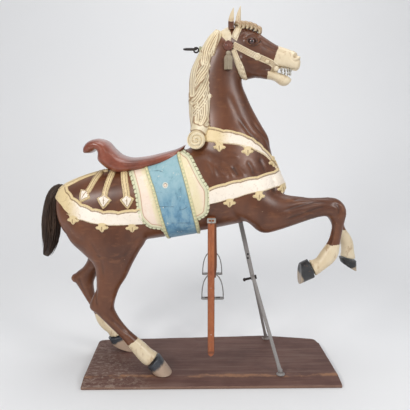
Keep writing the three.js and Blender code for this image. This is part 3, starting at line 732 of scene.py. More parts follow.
def horse_body():
    legs = [sweep(leg, 70, 40) for leg in (hind_right, hind_left, fore_right, fore_left)]
    skin = melted(joined(sweep(trunk, 60, 64, 0.88), sweep(neck, 60, 56), *legs), 5.6)
    high = ease(skin.points[:, 2], 520, 640)
    slack = ease(np.abs(skin.points[:, 0] + 30), 330, 400) * (1 - high)
    skin.smooth(4, 0.5)
    skin.smooth(26, 0.5 * high * (1 - slack))
    x, y, z = skin.points.T
    lift = np.zeros(len(x))
    for side, path, width, height in furrows:
        away, along = near_line(x, z, line(path, 12))
        length = near_line(*np.array(path[-1:]).T, line(path, 12))[1][0]
        fade = ease(along, -1, length * 0.25) * (1 - ease(along, length * 0.75, length + 1))
        shape = height * ridge(away, 0, width) * fade
        lift += np.where((side == 0) | (np.sign(y) == side), shape, 0)
    skin.push(lift)
    return skin


def socks(skin):
    """Distance inside the cream socks."""
    x, y, z = skin.points.T
    near = y < 0
    legs = [
        (-past(x, z, (-293, 169), (-323, 148)), near & (x < -100) & (z < 260)),
        (541 - z, near & (x > 330)),
        (562 - z, ~near & (x > 400)),
        (196 - z, ~near & (x < -330)),
    ]
    return np.max([np.minimum(depth, np.where(leg, 60, -60)) for depth, leg in legs], 0)


# ---------------------------------------------------------------- raised trappings
def shell(skin, field, split):
    """The part of a skin where a field is above 0, with every face split into split x split."""
    normals = skin.normals()
    here = field(*skin.points.T) > -6
    faces = skin.faces[here[skin.faces].any(1)]
    share = np.linspace(0, 1, split + 1)
    u, v = np.meshgrid(share, share, indexing="ij")
    weights = np.stack([(1 - u) * (1 - v), u * (1 - v), u * v, (1 - u) * v], -1).reshape(-1, 4)
    spots = np.einsum("gk,fkc->fgc", weights, skin.points[faces]).reshape(-1, 3)
    ways = np.einsum("gk,fkc->fgc", weights, normals[faces]).reshape(-1, 3)
    cell = np.arange((split + 1) ** 2).reshape(split + 1, split + 1)
    quad = np.stack([cell[:-1, :-1], cell[1:, :-1], cell[1:, 1:], cell[:-1, 1:]], -1).reshape(-1, 4)
    quads = (np.arange(len(faces))[:, None, None] * (split + 1) ** 2 + quad[None]).reshape(-1, 4)
    keys = np.round(spots * 50).astype(int)
    _, first, back = np.unique(keys, axis=0, return_index=True, return_inverse=True)
    back = back.ravel()
    spots, ways, quads = spots[first], ways[first], back[quads]
    ways /= np.maximum(np.linalg.norm(ways, axis=1, keepdims=True), 1e-9)
    reach = field(*spots.T)
    slope = np.zeros_like(spots)
    for axis in (0, 2):
        nudge = np.zeros(3)
        nudge[axis] = 0.5
        slope[:, axis] = (field(*(spots + nudge).T) - reach) / 0.5
    slope -= ways * (slope * ways).sum(1, keepdims=True)
    steep = (slope**2).sum(1)
    move = np.where((np.abs(reach) < 1.2) & (steep > 0.05), -reach / np.maximum(steep, 0.05), 0)
    spots += slope * np.clip(move, -2, 2)[:, None]
    reach = field(*spots.T)
    quads = quads[(reach[quads] > -2.6).any(1)]
    used, flat = np.unique(quads.ravel(), return_inverse=True)
    made = Skin(spots[used], flat.reshape(-1, 4))
    made.ways = ways[used]
    return made


def raise_shell(made, reach, height, detail=0.0):
    """Lifts a shell along its normals, its rim turned down into the surface under it."""
    wall = ease(reach, -1.6, 2.2)
    rim = np.where(reach < -1.2, -2.5, 0)
    made.points = made.points + made.ways * (wall * (height + detail) + rim - 0.6)[:, None]


def half_round(away, radius):
    return np.sqrt(np.clip(1 - (away / radius) ** 2, 0, 1))


trefoil_half = [(-27, 6), (-19, 3), (-14, -2), (-13, -8), (-16, -11), (-20, -11), (-23.5, -15), (-20, -20.5),
                (-13, -21.5), (-8, -24), (-5, -29)]
trefoil_shape = np.array(trefoil_half + [(0, -32)] + [(-u, v) for u, v in trefoil_half[::-1]])


def trefoil(x, z, cx, cz):
    """Distance inside a three-pointed drop that hangs from cx, cz."""
    return inside(x, z, trefoil_shape + (cx, cz))


def scalloped(points, rise, steps=10):
    """A line of shallow arcs that meet in small cusps at the given points."""
    made = []
    for (ax, az), (bx, bz) in zip(points[:-1], points[1:]):
        length = math.hypot(bx - ax, bz - az)
        for t in np.linspace(0, 1, steps, endpoint=False):
            lift = rise * math.sin(math.pi * t) ** 0.7 / length
            made.append((ax + (bx - ax) * t - (bz - az) * lift, az + (bz - az) * t + (bx - ax) * lift))
    return np.array(made + [points[-1]])


class Band:
    """A carved breast or rump band between two lines, with drops along its lower edge."""

    def __init__(self, upper, lower, drops):
        self.upper = scalloped(upper, 3.2)
        self.lower = line(lower, 40)
        self.outline = np.vstack([self.upper, self.lower[::-1]])
        self.drops = drops

    def reach(self, x, y, z):
        leaves = [trefoil(x, z, *drop) for drop in self.drops]
        return np.max([inside(x, z, self.outline), *leaves], 0)


upper_breast = Band(
    [(-18, 990), (45, 978), (92, 971), (139, 954), (170, 934), (199, 909), (237, 867), (262, 836),
     (300, 800)],
    [(-36, 938), (-10, 934), (27, 931), (50, 928), (74, 926), (106, 921), (134, 914), (159, 904), (196, 886),
     (223, 864), (262, 815), (300, 778)],
    [(29, 930), (135, 914), (243, 868)],
)
lower_breast = Band(
    [(-14, 766), (47, 784), (104, 796), (168, 806), (237, 821), (310, 834)],
    [(-14, 708), (20, 714), (49, 722), (88, 730), (123, 741), (155, 748), (196, 753), (234, 762), (310, 772)],
    [(65, 727), (175, 751), (273, 771)],
)
rump_band = Band(
    [(-625, 812), (-572, 775), (-543, 750), (-519, 729), (-484, 707), (-442, 690), (-402, 681), (-347, 679),
     (-284, 687), (-262, 692)],
    [(-625, 735), (-571, 702), (-554, 684), (-533, 667), (-499, 650), (-480, 647), (-444, 637), (-384, 629),
     (-323, 628), (-255, 631)],
    [(-519, 661), (-408, 636), (-299, 631)],
)


def dress_band(name, body, band, finish, yellow_from=None, split=2):
    """Raises a band, corded along its top. It turns yellower to the left of yellow_from."""
    made = shell(body, band.reach, split)
    x, y, z = made.points.T
    reach = band.reach(x, y, z)
    top, _ = near_line(x, z, band.upper)
    cord = 2.4 * half_round(top - 4.5, 4.2) - 1.8 * ridge(top, 9.8, 1.5)
    hem = ridge(reach, 2.6, 2.0) * (top > 14)
    low = np.min([np.hypot((x - cx) * 0.7, z - cz + 14) for cx, cz in band.drops], 0)
    rib = np.min([np.abs(x - cx) + np.clip(z - cz + 12, 0, 99) * 2 for cx, cz in band.drops], 0)
    veins = 1.6 * ridge(rib, 0, 1.6) * (low < 18) * (reach > 2)
    raise_shell(made, reach, 6.0, cord + hem - veins)
    gold = np.max([ease(9 - top, 0, 3), ease(20 - low, 0, 7), 0.55 * ease(6 - reach, 0, 4)], 0)
    if yellow_from is not None:
        gold = np.maximum(gold, 0.8 * ease(yellow_from - x, 0, 120))
    # Painted shade: the groove under the cord and the veins of the drops are added to the hollow measure,
    # which the paint darkens.
    dark = ridge(top, 9.8, 1.6) + veins * 0.4
    deep = np.clip(0.95 * dark + made.hollows(1, 0.9), -1, 1)
    return carved(name, made, finish, hollow=deep, edge=reach, gold=gold)


# ---------------------------------------------------------------- stage, camera and light
def stage_and_camera():
    scene = bpy.context.scene
    camera = bpy.data.cameras.new("camera")
    camera.lens = 520 / 410 * 36
    camera.sensor_width = 36
    eye = bpy.data.objects.new("camera", camera)
    eye.location = (-0.0573, -2.0456, 1.0163)
    eye.rotation_euler = (math.radians(90 - 9.32), 0, math.radians(-0.95))
    scene.collection.objects.link(eye)
    scene.camera = eye
    start, radius = 0.3, 1.8
    turns = np.linspace(0, math.pi / 2, 40)
    arc = [(start + radius * math.sin(t), radius * (1 - math.cos(t))) for t in turns]
    profile = [(-4.0, 0), *arc, (start + radius, 4.5)]
    spread = np.linspace(-4, 4, 9)
    points = [(x, y, z) for y, z in profile for x in spread]
    faces = []
    for r in range(len(profile) - 1):
        for c in range(len(spread) - 1):
            a = r * len(spread) + c
            faces.append((a, a + 1, a + 1 + len(spread), a + len(spread)))
    mesh = bpy.data.meshes.new("floor")
    mesh.from_pydata(points, [], faces)
    mesh.shade_smooth()
    f = Finish("floor", Specular_IOR_Level=0.1)
    shade = f.noise(2, 2)
    f.wear(f.mix(shade, (0.80, 0.805, 0.82), (0.82, 0.82, 0.825)), 0.85 + shade * 0.05)
    mesh.materials.append(f.material)
    floor = bpy.data.objects.new("floor", mesh)
    scene.collection.objects.link(floor)
    world = bpy.data.worlds.new("studio")
    scene.world = world
    world.use_nodes = True
    world.node_tree.nodes["Background"].inputs[0].default_value = (0.93, 0.96, 1, 1)
    world.node_tree.nodes["Background"].inputs[1].default_value = 0.37
    lamps = [
        ("key", (-2.0, -2.6, 2.4), 1.1, 62, (1, 0.985, 0.96)),
        ("fill", (2.2, -2.4, 2.2), 1.1, 42, (1, 0.99, 0.98)),
        ("top", (0.2, 0.3, 3.2), 2.0, 30, (1, 1, 1)),
    ]
    for name, place, size, power, colour in lamps:
        lamp = bpy.data.lights.new(name, "AREA")
        lamp.size = size
        lamp.energy = power
        lamp.color = colour
        holder = bpy.data.objects.new(name, lamp)
        holder.location = place
        aim = Vector((0, 0, 0.7)) - Vector(place)
        holder.rotation_euler = aim.to_track_quat("-Z", "Y").to_euler()
        scene.collection.objects.link(holder)
    scene.view_settings.view_transform = "Standard"


# ---------------------------------------------------------------- head
POLL_X = 60


def turned(points, degrees=-6.0):
    """Turns points of the head about the poll."""
    c, s = math.cos(math.radians(degrees)), math.sin(math.radians(degrees))
    points = np.asarray(points, float)
    x, y = points[..., 0] - POLL_X, points[..., 1]
    return np.stack([POLL_X + x * c - y * s, x * s + y * c, points[..., 2]], -1)


EYE = (154, 45, 1301)
head_furrows = [
    ([(108, 1330), (128, 1345), (160, 1338), (178, 1322)], 5, -3.5),
    ([(128, 1318), (140, 1329), (160, 1331), (175, 1318), (180, 1304)], 3.2, 3.0),
    ([(128, 1306), (142, 1292), (162, 1290), (178, 1302)], 3.0, 2.6),
    ([(134, 1298), (150, 1284), (172, 1288), (188, 1304)], 3.0, -2.2),
    ([(190, 1300), (225, 1282), (270, 1264)], 7, -3.5),
    ([(170, 1245), (215, 1228), (252, 1212)], 8, -3),
    ([(296, 1262), (304, 1240), (318, 1232), (332, 1238)], 4, -3),
    ([(258, 1209), (278, 1209), (300, 1203), (325, 1203)], 2.6, -3.5),
    ([(120, 1240), (140, 1200), (180, 1182)], 9, 3.5),
    ([(306, 1266), (318, 1268), (332, 1256), (334, 1242)], 4, 3),
]


def horse_head():
    skin = melted(joined(sweep(skull, 60, 52, 0.88), sweep(jaw, 30, 28)), 2.7)
    skin.smooth(9)
    x, y, z = skin.points.T
    lift = np.zeros(len(x))
    for path, width, height in head_furrows:
        away, _ = near_line(x, z, line(path, 12))
        lift += height * ridge(away, 0, width) * (np.abs(y) > 12)
    socket = np.hypot((x - EYE[0]) / 1.15, z - EYE[2])
    lift -= 7 * ease(-socket, -13, -6)
    nose = np.hypot((x - 318) * 0.75 + (z - 1250) * 0.25, (z - 1250) * 1.0 - (x - 318) * 0.3)
    lift -= 11 * ease(-nose, -10, -3)
    lift += 3.0 * ridge(nose, 12, 3.5)
    skin.push(lift)
    return skin


def muzzle(skin):
    """Distance inside the cream muzzle and lower jaw."""
    x, _, z = skin.points.T
    front = past(x, z, (255, 1290), (236, 1232))
    under = np.minimum(past(x, z, (214, 1205), (214, 1120)) * -1, 1196 - z)
    return np.maximum(-front, under)


def head_piece():
    skin = horse_head()
    pale = muzzle(skin)
    skin.points = turned(skin.points)
    return skin, pale


def blob(center, radii, rows=10, sides=16):
    """A soft rounded lump."""
    rings = []
    for t in np.linspace(0.02, math.pi - 0.02, rows):
        a = np.linspace(0, 2 * math.pi, sides, endpoint=False)
        r = math.sin(t)
        level = np.full(sides, math.cos(t) * radii[2])
        ring = np.stack([r * np.cos(a) * radii[0], r * np.sin(a) * radii[1], level], 1)
        rings.append(ring + np.asarray(center, float))
    return tube(rings)


def strand(path, radii, sides=10, rows=24, flat=1.0, flutes=0, depth=0.0):
    """A tapered, fluted tube along a smooth 3-D path."""
    centre = line(path, rows)
    width = line([[r] for r in radii], rows)[:, 0]
    ahead = np.gradient(centre, axis=0)
    ahead /= np.maximum(np.linalg.norm(ahead, axis=1, keepdims=True), 1e-9)
    side = np.cross(ahead, (0.02, 1, 0.03))
    side /= np.maximum(np.linalg.norm(side, axis=1, keepdims=True), 1e-9)
    over = np.cross(side, ahead)
    angle = np.linspace(0, 2 * math.pi, sides, endpoint=False)
    swell = 1 + depth * np.cos(angle * flutes)
    ring = side[:, None] * (np.cos(angle) * swell)[None, :, None]
    ring = ring + over[:, None] * (np.sin(angle) * swell * flat)[None, :, None]
    return tube(centre[:, None] + ring * np.maximum(width, 0.15)[:, None, None])


def lathe(profile, centre, side, sides=40, petals=0, depth=0.0):
    """A turned knob whose axis points out to one side. The profile holds radius and height."""
    angle = np.linspace(0, 2 * math.pi, sides, endpoint=False)
    rings = []
    for radius, height in profile:
        r = radius * (1 + depth * np.cos(angle * petals) * min(radius / profile[0][0], 1))
        ring = np.stack([r * np.cos(angle), np.full(sides, side * height), r * np.sin(angle) * -side], 1)
        rings.append(ring + np.asarray(centre, float))
    return tube(rings)


def ear(side, base, tip):
    """A leaf-shaped ear, dished on its outer front."""
    rings = []
    angle = np.linspace(0, 2 * math.pi, 28, endpoint=False)
    for t in np.linspace(0, 1, 26):
        size = 0.86 + 0.5 * t - 0.2 * t * t - 1.12 * t**2.4
        size = max(size, 0.04)
        x = base[0] + (tip[0] - base[0]) * t - 4 * math.sin(math.pi * t)
        z = base[1] + (tip[1] - base[1]) * t
        out = np.sin(angle)
        dish = np.where(out > 0, out * (1 - 1.25 * min(t * 3, 1) * (1 - abs(t - 0.45) * 0.6)), out)
        u = np.cos(angle) * 12.5 * size
        w = dish * 11 * size
        rings.append(np.stack([x + u * 0.93, side * (30 + 7 * t) + side * w, z + u * 0.12], 1))
    skin = tube(rings)
    if side < 0:
        skin.faces = skin.faces[:, ::-1]
    return skin


def curls():
    """The forelock, a heap of curled tufts on the brow."""
    tufts = []
    for side in (-1, 0, 1):
        for k in range(6):
            x = 96 + 15 * k
            z = 1364 - 0.00033 * max(x - 105, 0) ** 2.6
            y = side * (19 - 1.2 * k)
            lean = side * 9
            path = [
                (x - 8, y * 0.6, z + 4), (x, y + lean * 0.3, z + 9), (x + 11, y + lean, z + 4),
                (x + 13, y + lean * 1.3, z - 6), (x + 7, y + lean * 1.4, z - 13),
            ]
            tufts.append(strand(path, [2.5, 6.8, 7.6, 5.6, 2], 14, 18, 0.9, 4, 0.12))
    return joined(*tufts)


# ---------------------------------------------------------------- bridle
class Strap:
    """A flat strap of even width under a line."""

    def __init__(self, upper, width):
        upper = line(upper, 30)
        steps = np.gradient(upper, axis=0)
        steps /= np.linalg.norm(steps, axis=1, keepdims=True)
        lower = upper + np.stack([steps[:, 1], -steps[:, 0]], 1) * width
        self.outline = np.vstack([upper, lower[::-1]])


def lowered(points, eye_height=1016.3, share=0.9756):
    """Brings points of a side view down to where they lie on the near side of the head."""
    return [(x, eye_height + (z - eye_height) * share) for x, z in points]


def straight_head(skin):
    """The head before its turn, for laying out straps on it."""
    return Skin(turned(skin.points, 6.0), skin.faces)


def head_strap(name, base, outline, finish, height=4.0, grooves=(), studs=None, split=2):
    def field(x, y, z):
        return inside(x, z, outline)

    made = shell(base, field, split)
    x, y, z = made.points.T
    reach = field(x, y, z)
    detail = np.zeros(len(x))
    for g in grooves:
        detail -= 1.5 * ridge(reach, g, 1.1)
    if studs is not None:
        for sx, sz in studs:
            detail += 3.0 * half_round(np.hypot(x - sx, z - sz), 5.5)
    raise_shell(made, reach, height, detail)
    # Painted shade: the grooves are added to the hollow measure, which the paint darkens.
    deep = np.clip(made.hollows(1, 1.5) - detail * 0.25, -1, 1)
    return on_head(name, made, finish, hollow=deep, edge=reach)


# ---------------------------------------------------------------- mane
mane_sections = [
    [44, 1338, 18, 1352, 0, 22],
    [36, 1318, -14, 1318, 0, 44],
    [20, 1280, -50, 1256, 0, 58],
    [10, 1225, -79, 1190, 0, 63],
    [6, 1160, -84, 1115, 0, 67],
    [9, 1095, -84, 1045, 0, 71],
    [6, 1025, -78, 985, 0, 78],
    [-18, 965, -82, 950, 0, 86],
    [-36, 928, -88, 930, 0, 84],
]
# Carved locks in the side view: a middle line from the hidden end to the tip, and half widths along it.
locks = [
    ([(18, 1338), (-2, 1305), (-18, 1268), (-22, 1225)], [10, 20, 24, 18]),
    ([(-40, 1262), (-62, 1215), (-72, 1165), (-70, 1110)], [8, 15, 16, 10]),
    ([(-8, 1262), (-6, 1240), (-20, 1205), (-46, 1172), (-64, 1140)], [9, 15, 19, 18, 8]),
    ([(-6, 1205), (-8, 1180), (-24, 1140), (-50, 1100), (-74, 1075)], [7, 14, 18, 18, 8]),
    ([(-8, 1148), (-9, 1130), (-22, 1092), (-48, 1060), (-76, 1030)], [6, 12, 16, 17, 8]),
    ([(-10, 1108), (-7, 1085), (-5, 1050), (-8, 1020), (-22, 998)], [5, 10, 12, 11, 6]),
    ([(-30, 1112), (-26, 1070), (-28, 1030), (-40, 1003)], [6, 14, 15, 8]),
    ([(-54, 1085), (-50, 1045), (-52, 1010)], [6, 13, 9]),
    ([(-76, 1080), (-76, 1030), (-84, 985), (-84, 950)], [6, 12, 12, 8]),
]
scroll_middle = (-58, 941)


def lock_heights(x, z):
    """The height of the carved locks over the mane, and how deep between them each point lies."""
    best = np.full(len(x), -3.0)
    for path, widths in locks:
        route = line(path, 24)
        away, along = near_line(x, z, route)
        total = np.hypot(*np.diff(route, axis=0).T).sum()
        width = np.interp(along / total, np.linspace(0, 1, len(widths)), widths)
        dome = 9 * half_round(away, width)
        side = np.cos(away * (2 * math.pi / 8.5) + 0.4 * np.sin(along / 14))
        dome = dome + 1.7 * side * (away < width - 1.5)
        best = np.maximum(best, np.where(away < width, dome, -3.0))
    cx, cz = scroll_middle
    r = np.hypot(x - cx, z - cz)
    angle = np.arctan2(z - cz, x - cx)
    winding = np.cos(2 * math.pi * (r / 13.5) + angle)
    strands = 1.2 * np.cos(2 * math.pi * r / 4.5 + angle * 3)
    coil = (5 + 5.0 * winding + strands) * (r < 35) + 3 * half_round(r, 7)
    coil = coil + 4 * half_round(r, 35)
    edge = ease(36 - r, 0, 5)
    return best * (1 - edge) + coil * edge


def mane():
    rings = sweep_rings(mane_sections, 210, 130, 0.85)
    skin = tube(rings)
    x, y, z = skin.points.T
    flank = ease(np.abs(y), 16, 40)
    ridge = 1.4 * np.cos(np.abs(y) / 4.2 + z / 40) - 1
    heights = lock_heights(x, z) * flank + (5 + ridge) * (1 - flank)
    skin.push(heights - 4)
    return skin


def scrolls():
    made = []
    for side in (-1, 1):
        a = np.linspace(0, 2 * math.pi, 120, endpoint=False)
        rings = []
        for r in np.linspace(34, 0.5, 60):
            x = scroll_middle[0] + r * np.cos(a)
            z = scroll_middle[1] + r * np.sin(a)
            wind = np.cos(2 * math.pi * (r / 13.5) + a)
            fine = np.cos(2 * math.pi * (r / 4.4) + a * 2)
            height = 10 * math.sqrt(max(1 - (r / 35) ** 2, 0)) + 3.6 * wind + 0.9 * fine
            rings.append(np.stack([x, side * (88 + height), z], 1))
        rim_x, _, rim_z = rings[0].T
        wall = [np.stack([rim_x, side * (np.full(120, 88.0) - d), rim_z], 1) for d in (40, 30, 15, 6)]
        skin = tube(wall + rings)
        if side > 0:
            skin.faces = skin.faces[:, ::-1]
        made.append(skin)
    return joined(*made)


# ---------------------------------------------------------------- saddle
saddle_sections = [
    [-98, 920, -106, 902, 0, 22],
    [-135, 903, -132, 868, 0, 62],
    [-185, 889, -182, 848, 0, 84],
    [-245, 875, -240, 832, 0, 92],
    [-305, 869, -305, 818, 0, 94],
    [-345, 879, -372, 815, 0, 94],
    [-374, 903, -432, 856, 0, 92],
    [-402, 932, -434, 890, 0, 88],
    [-440, 943, -441, 900, 0, 84],
    [-472, 934, -452, 894, 0, 78],
    [-489, 914, -464, 889, 0, 70],
    [-491, 897, -478, 889, 0, 58],
]


def saddle():
    return sweep(saddle_sections, 150, 96, 0.72)


# ---------------------------------------------------------------- draperies
cloth_rear = [(-340, 905), (-324, 840), (-305, 801), (-291, 763), (-283, 729), (-279, 691), (-272, 657),
              (-252, 630), (-232, 614), (-191, 604), (-178, 570), (-172, 500)]
cloth_front = [(-118, 930), (-105, 902), (-77, 883), (-55, 845), (-33, 803), (-12, 770), (-7, 743), (-8, 706),
               (-16, 670), (-42, 649), (-60, 640), (-62, 600), (-60, 500)]
girth_rear = [(-268, 905), (-254, 840), (-237, 795), (-221, 754), (-203, 688), (-183, 608), (-160, 500)]
girth_front = [(-134, 920), (-126, 874), (-107, 815), (-88, 744), (-70, 668), (-56, 596), (-45, 500)]
girth_cracks = [
    [(-222, 822), (-195, 824), (-173, 817)],
    [(-122, 688), (-104, 692), (-89, 702)],
    [(-217, 754), (-192, 750), (-160, 752)],
    [(-205, 700), (-140, 700)],
    [(-150, 640), (-80, 640)],
]


def outline_between(left, right):
    return np.vstack([line(left, 50), line(right, 50)[::-1]])


def cloth(body, finish):
    outline = outline_between(cloth_rear, cloth_front)

    def reach_of(x, y, z):
        return inside(x, z, outline)

    made = shell(body, reach_of, 2)
    x, y, z = made.points.T
    rear, along_rear = near_line(x, z, line(cloth_rear, 60))
    front, along_front = near_line(x, z, line(cloth_front, 60))
    reach = reach_of(x, y, z)
    edge = np.minimum(rear, front) * np.sign(reach)
    along = np.where(rear < front, along_rear, along_front)
    beads = np.sqrt(np.abs(np.sin(math.pi * along / 15.5)))
    strip = ease(9 - edge, 0, 3) * (reach > 0)
    scallop = reach - strip * (1 - beads) * 4.5
    detail = strip * (beads * 1.8 - 1.0)
    detail += 0.9 * half_round(edge - 15, 5) - 0.9 * ridge(edge, 9.5, 1.4)
    detail -= 0.8 * ridge(edge, 21, 1.3)
    to_girth = np.minimum(near_line(x, z, line(girth_rear, 60))[0], near_line(x, z, line(girth_front, 60))[0])
    warm = np.where(x > -150, ease(70 - to_girth, 0, 52), ease(24 - to_girth, 0, 20))
    raise_shell(made, scallop, 6.0, detail)
    return carved("saddle_cloth", made, finish, edge=edge, beads=beads, warm=warm)


def girth(body, finish):
    outline = outline_between(girth_rear, [(x + 12, z) for x, z in girth_front])

    def reach_of(x, y, z):
        return inside(x, z, outline)

    made = shell(body, reach_of, 2)
    x, y, z = made.points.T
    rear, along_rear = near_line(x, z, line(girth_rear, 60))
    front, along_front = near_line(x, z, line([(gx + 12, gz) for gx, gz in girth_front], 60))
    reach = reach_of(x, y, z)
    edge = np.minimum(rear, front) * np.sign(reach)
    along = np.where(rear < front, along_rear, along_front)
    dashes = 0.5 + 0.5 * np.cos(2 * math.pi * along / 13)
    dashes = dashes * (np.abs(edge - 6.5) < 3.2)
    hole = np.hypot(x + 171, z - 776)
    seams = np.min([near_line(x, z, crack)[0] for crack in girth_cracks], 0)
    detail = 1.6 * half_round(edge - 6.5, 6.5) - 1.6 * ridge(edge, 14, 1.1)
    detail = np.where(edge > 13, -1.2, detail) - 7 * ease(-hole, -6.5, -4) + 1.2 * ridge(hole, 9, 2)
    raise_shell(made, reach, 10.0, detail)
    return carved("girth", made, finish, edge=edge, beads=dashes, hole=hole, height=z,
                 seams=seams)


# Each: middle line from the top to the tip, half width of the shaft, half width of the head, its length.
spear_lines = [
    ([(-420, 826), (-443, 787), (-458, 758), (-475, 736), (-489, 713)], 8.5, 23, 56),
    ([(-366, 836), (-373, 826), (-386, 789), (-397, 746), (-403, 690)], 10, 27, 58),
    ([(-336, 838), (-334, 829), (-326, 790), (-317, 747), (-312, 690)], 12, 26, 58),
]


def spear_reach(x, z, path, width, head, length):
    """Distance inside a strap that ends in a barbed spearhead."""
    route = line(path, 20)
    away, along = near_line(x, z, route)
    tail = np.hypot(*np.diff(route, axis=0).T).sum() - along
    barb = length * 0.6
    shape = np.where(tail < barb, head * (tail / barb) ** 0.82, np.maximum(width, head - (tail - barb) * 1.5))
    beyond = np.hypot(x - path[-1][0], z - path[-1][1])
    return np.where(tail < 0.5, -beyond, (shape - away) * 0.85), away, tail


def spears(body, finish):
    def reach_of(x, y, z):
        return np.max([spear_reach(x, z, *spear)[0] for spear in spear_lines], 0)

    made = shell(body, reach_of, 2)
    x, y, z = made.points.T
    reach = reach_of(x, y, z)
    detail = 1.2 * ridge(reach, 2.2, 1.6)
    # The line carved along the edge, and below it the shaft lines and the cross on each head, all get painted
    # shade.
    dark = ridge(reach, 5.0, 1.2)
    bright = np.zeros(len(x))
    for spear in spear_lines:
        own, away, tail = spear_reach(x, z, *spear)
        width, _, length = spear[1:]
        shaft = (own > -1) & (tail > length * 0.8)
        tip = (own > -1) & (tail < length * 0.8)
        dark = np.where(shaft, ridge(away, width * 0.52, 1.2), dark)
        gem = 10 - away - np.abs(tail - length * 0.52) * 0.55
        cross = np.minimum(away, np.abs(tail - length * 0.52) + 0.2 * away)
        detail = np.where(tip, detail + 1.6 * ease(gem, 0, 4), detail)
        dark = np.where(tip, np.maximum(dark, ridge(cross, 0, 1.3) * (gem > 1)), dark)
        bright = np.where(tip, ease(reach, 5, 7), bright)
    raise_shell(made, reach, 9.0, detail - 1.4 * dark)
    # Painted shade: the carved lines are added to the hollow measure, which the paint darkens.
    deep = np.clip(dark * 0.95 + made.hollows(1, 0.9), -1, 1)
    return carved("spear_straps", made, finish, hollow=deep, edge=reach, gold=0.9 - bright)


def croup_strap(body, finish):
    def reach_of(x, y, z):
        half = np.interp(x, [-580, -526, -497, -458, -410], [56, 50, 40, 30, 25])
        return np.minimum(half - np.abs(y), np.minimum(np.minimum(-400 - x, x + 590), z - 742))

    made = shell(body, reach_of, 2)
    x, y, z = made.points.T
    reach = reach_of(x, y, z)
    lines = ridge(reach, 6, 1.3) + ridge(reach, 16, 1.2)
    raise_shell(made, reach, 8.0, -1.3 * lines)
    # Painted shade: the two carved lines are added to the hollow measure, which the paint darkens.
    deep = np.clip(lines * 0.9 + made.hollows(1, 0.9), -1, 1)
    gold = np.full(len(x), 0.8)
    return carved("croup_strap", made, finish, hollow=deep, edge=reach, gold=gold)


# ---------------------------------------------------------------- tail
def tail():
    rng = np.random.default_rng(7)
    path = [(-574, 744), (-596, 746), (-614, 724), (-628, 680), (-636, 625), (-640, 566), (-647, 520),
            (-664, 478)]
    path = line(path, 40)
    width = np.interp(np.linspace(0, 1, 41), [0, 0.12, 0.3, 0.6, 0.8, 1], [12, 19, 29, 34, 29, 14])
    depth = np.interp(np.linspace(0, 1, 41), [0, 0.12, 0.3, 0.6, 0.8, 1], [11, 18, 25, 32, 27, 12])
    parts = []
    ring = np.linspace(0, 2 * math.pi, 24, endpoint=False)
    steps = np.gradient(path, axis=0)
    steps /= np.linalg.norm(steps, axis=1, keepdims=True)
    core = []
    for k, (x, z) in enumerate(path):
        tx, tz = steps[k]
        u = np.cos(ring) * width[k] * 0.86
        core.append(np.stack([x - tz * u, np.sin(ring) * depth[k] * 0.86, z + tx * u], 1))
    parts.append(tube(core))
    for _ in range(300):
        a = rng.uniform(0, 2 * math.pi)
        r = rng.uniform(0.82, 1.05)
        drift = rng.uniform(-0.5, 0.5)
        start = rng.integers(0, 10)
        stop = rng.integers(26, 41)
        stray = rng.uniform(0, 1) ** 6 * 9
        points = []
        for k in range(start, stop):
            t = (k - start) / max(stop - start - 1, 1)
            b = a + drift * t + 0.15 * math.sin(k / 5 + a * 3)
            tx, tz = steps[k]
            u = math.cos(b) * width[k] * r + stray * t * math.cos(b)
            points.append((path[k][0] - tz * u, math.sin(b) * depth[k] * r, path[k][1] + tx * u))
        points = points[::3] + points[-1:]
        thick = rng.uniform(0.9, 1.9)
        parts.append(strand(points, [thick * 0.7, thick, thick, thick * 0.2], 4, 14))
    return joined(*parts)


# ---------------------------------------------------------------- ironwork
def bent(points, radius, sides=14, rows=60, flat=1.0):
    return strand(points, [radius, radius], sides, rows, flat)


def ring_on_crest():
    x, z, radius, bar, tilt = -80, 1280, 23, 3.6, math.radians(11.5)
    rings = []
    for a in np.linspace(0, 2 * math.pi, 73):
        b = np.linspace(0, 2 * math.pi, 16, endpoint=False)
        r = radius + bar * np.cos(b)
        u, v, w = r * math.cos(a), r * math.sin(a), bar * np.sin(b)
        across = v * math.cos(tilt) - w * math.sin(tilt)
        rings.append(np.stack([x + u, across, z + v * math.sin(tilt) + w * math.cos(tilt)], 1))
    return tube(rings, False)


def eye_bolt():
    x, z = -57, 1277
    loop = [(x + 9 * math.cos(a), 0, z + 9 * math.sin(a)) for a in np.linspace(0.3, 2 * math.pi + 0.3, 22)]
    shank = [(x + 8, 0, z), (x + 20, 0, z), (x + 40, 0, z), (x + 55, 0, z)]
    return joined(bent(loop, 3.0, 12, 50), bent(shank, 4.0, 14, 10))


def bracket():
    """The square washer plate at the foot of the eye bolt."""
    rings = []
    angle = np.linspace(0, 2 * math.pi, 40, endpoint=False)
    square = lambda v: np.sign(v) * np.abs(v) ** 0.35
    profile = [(5, 0.2), (5, 0.86), (4.2, 0.96), (3, 1.0)]
    for out, size in profile + [(-out, size) for out, size in profile[::-1]]:
        y, z = square(np.cos(angle)) * 11 * size, square(np.sin(angle)) * 11 * size
        rings.append(np.stack([np.full(40, -41.0 - out), y, 1279 + z], 1))
    return tube(rings)


# ---------------------------------------------------------------- stirrups
STRAP_Y = 128.5
# On each side: where the iron hangs along the horse, the height of its top and its width.
irons = {-1: (3.5, 435, 82), 1: (10, 455, 82)}
# On each side: where the leather hangs along the horse.
hangs = {-1: 0.0, 1: 7.5}


def beside(side, points):
    """Turns points of x, distance out from the strap's middle and z into x, y, z."""
    return [(x, side * (STRAP_Y + out), z) for x, out, z in points]


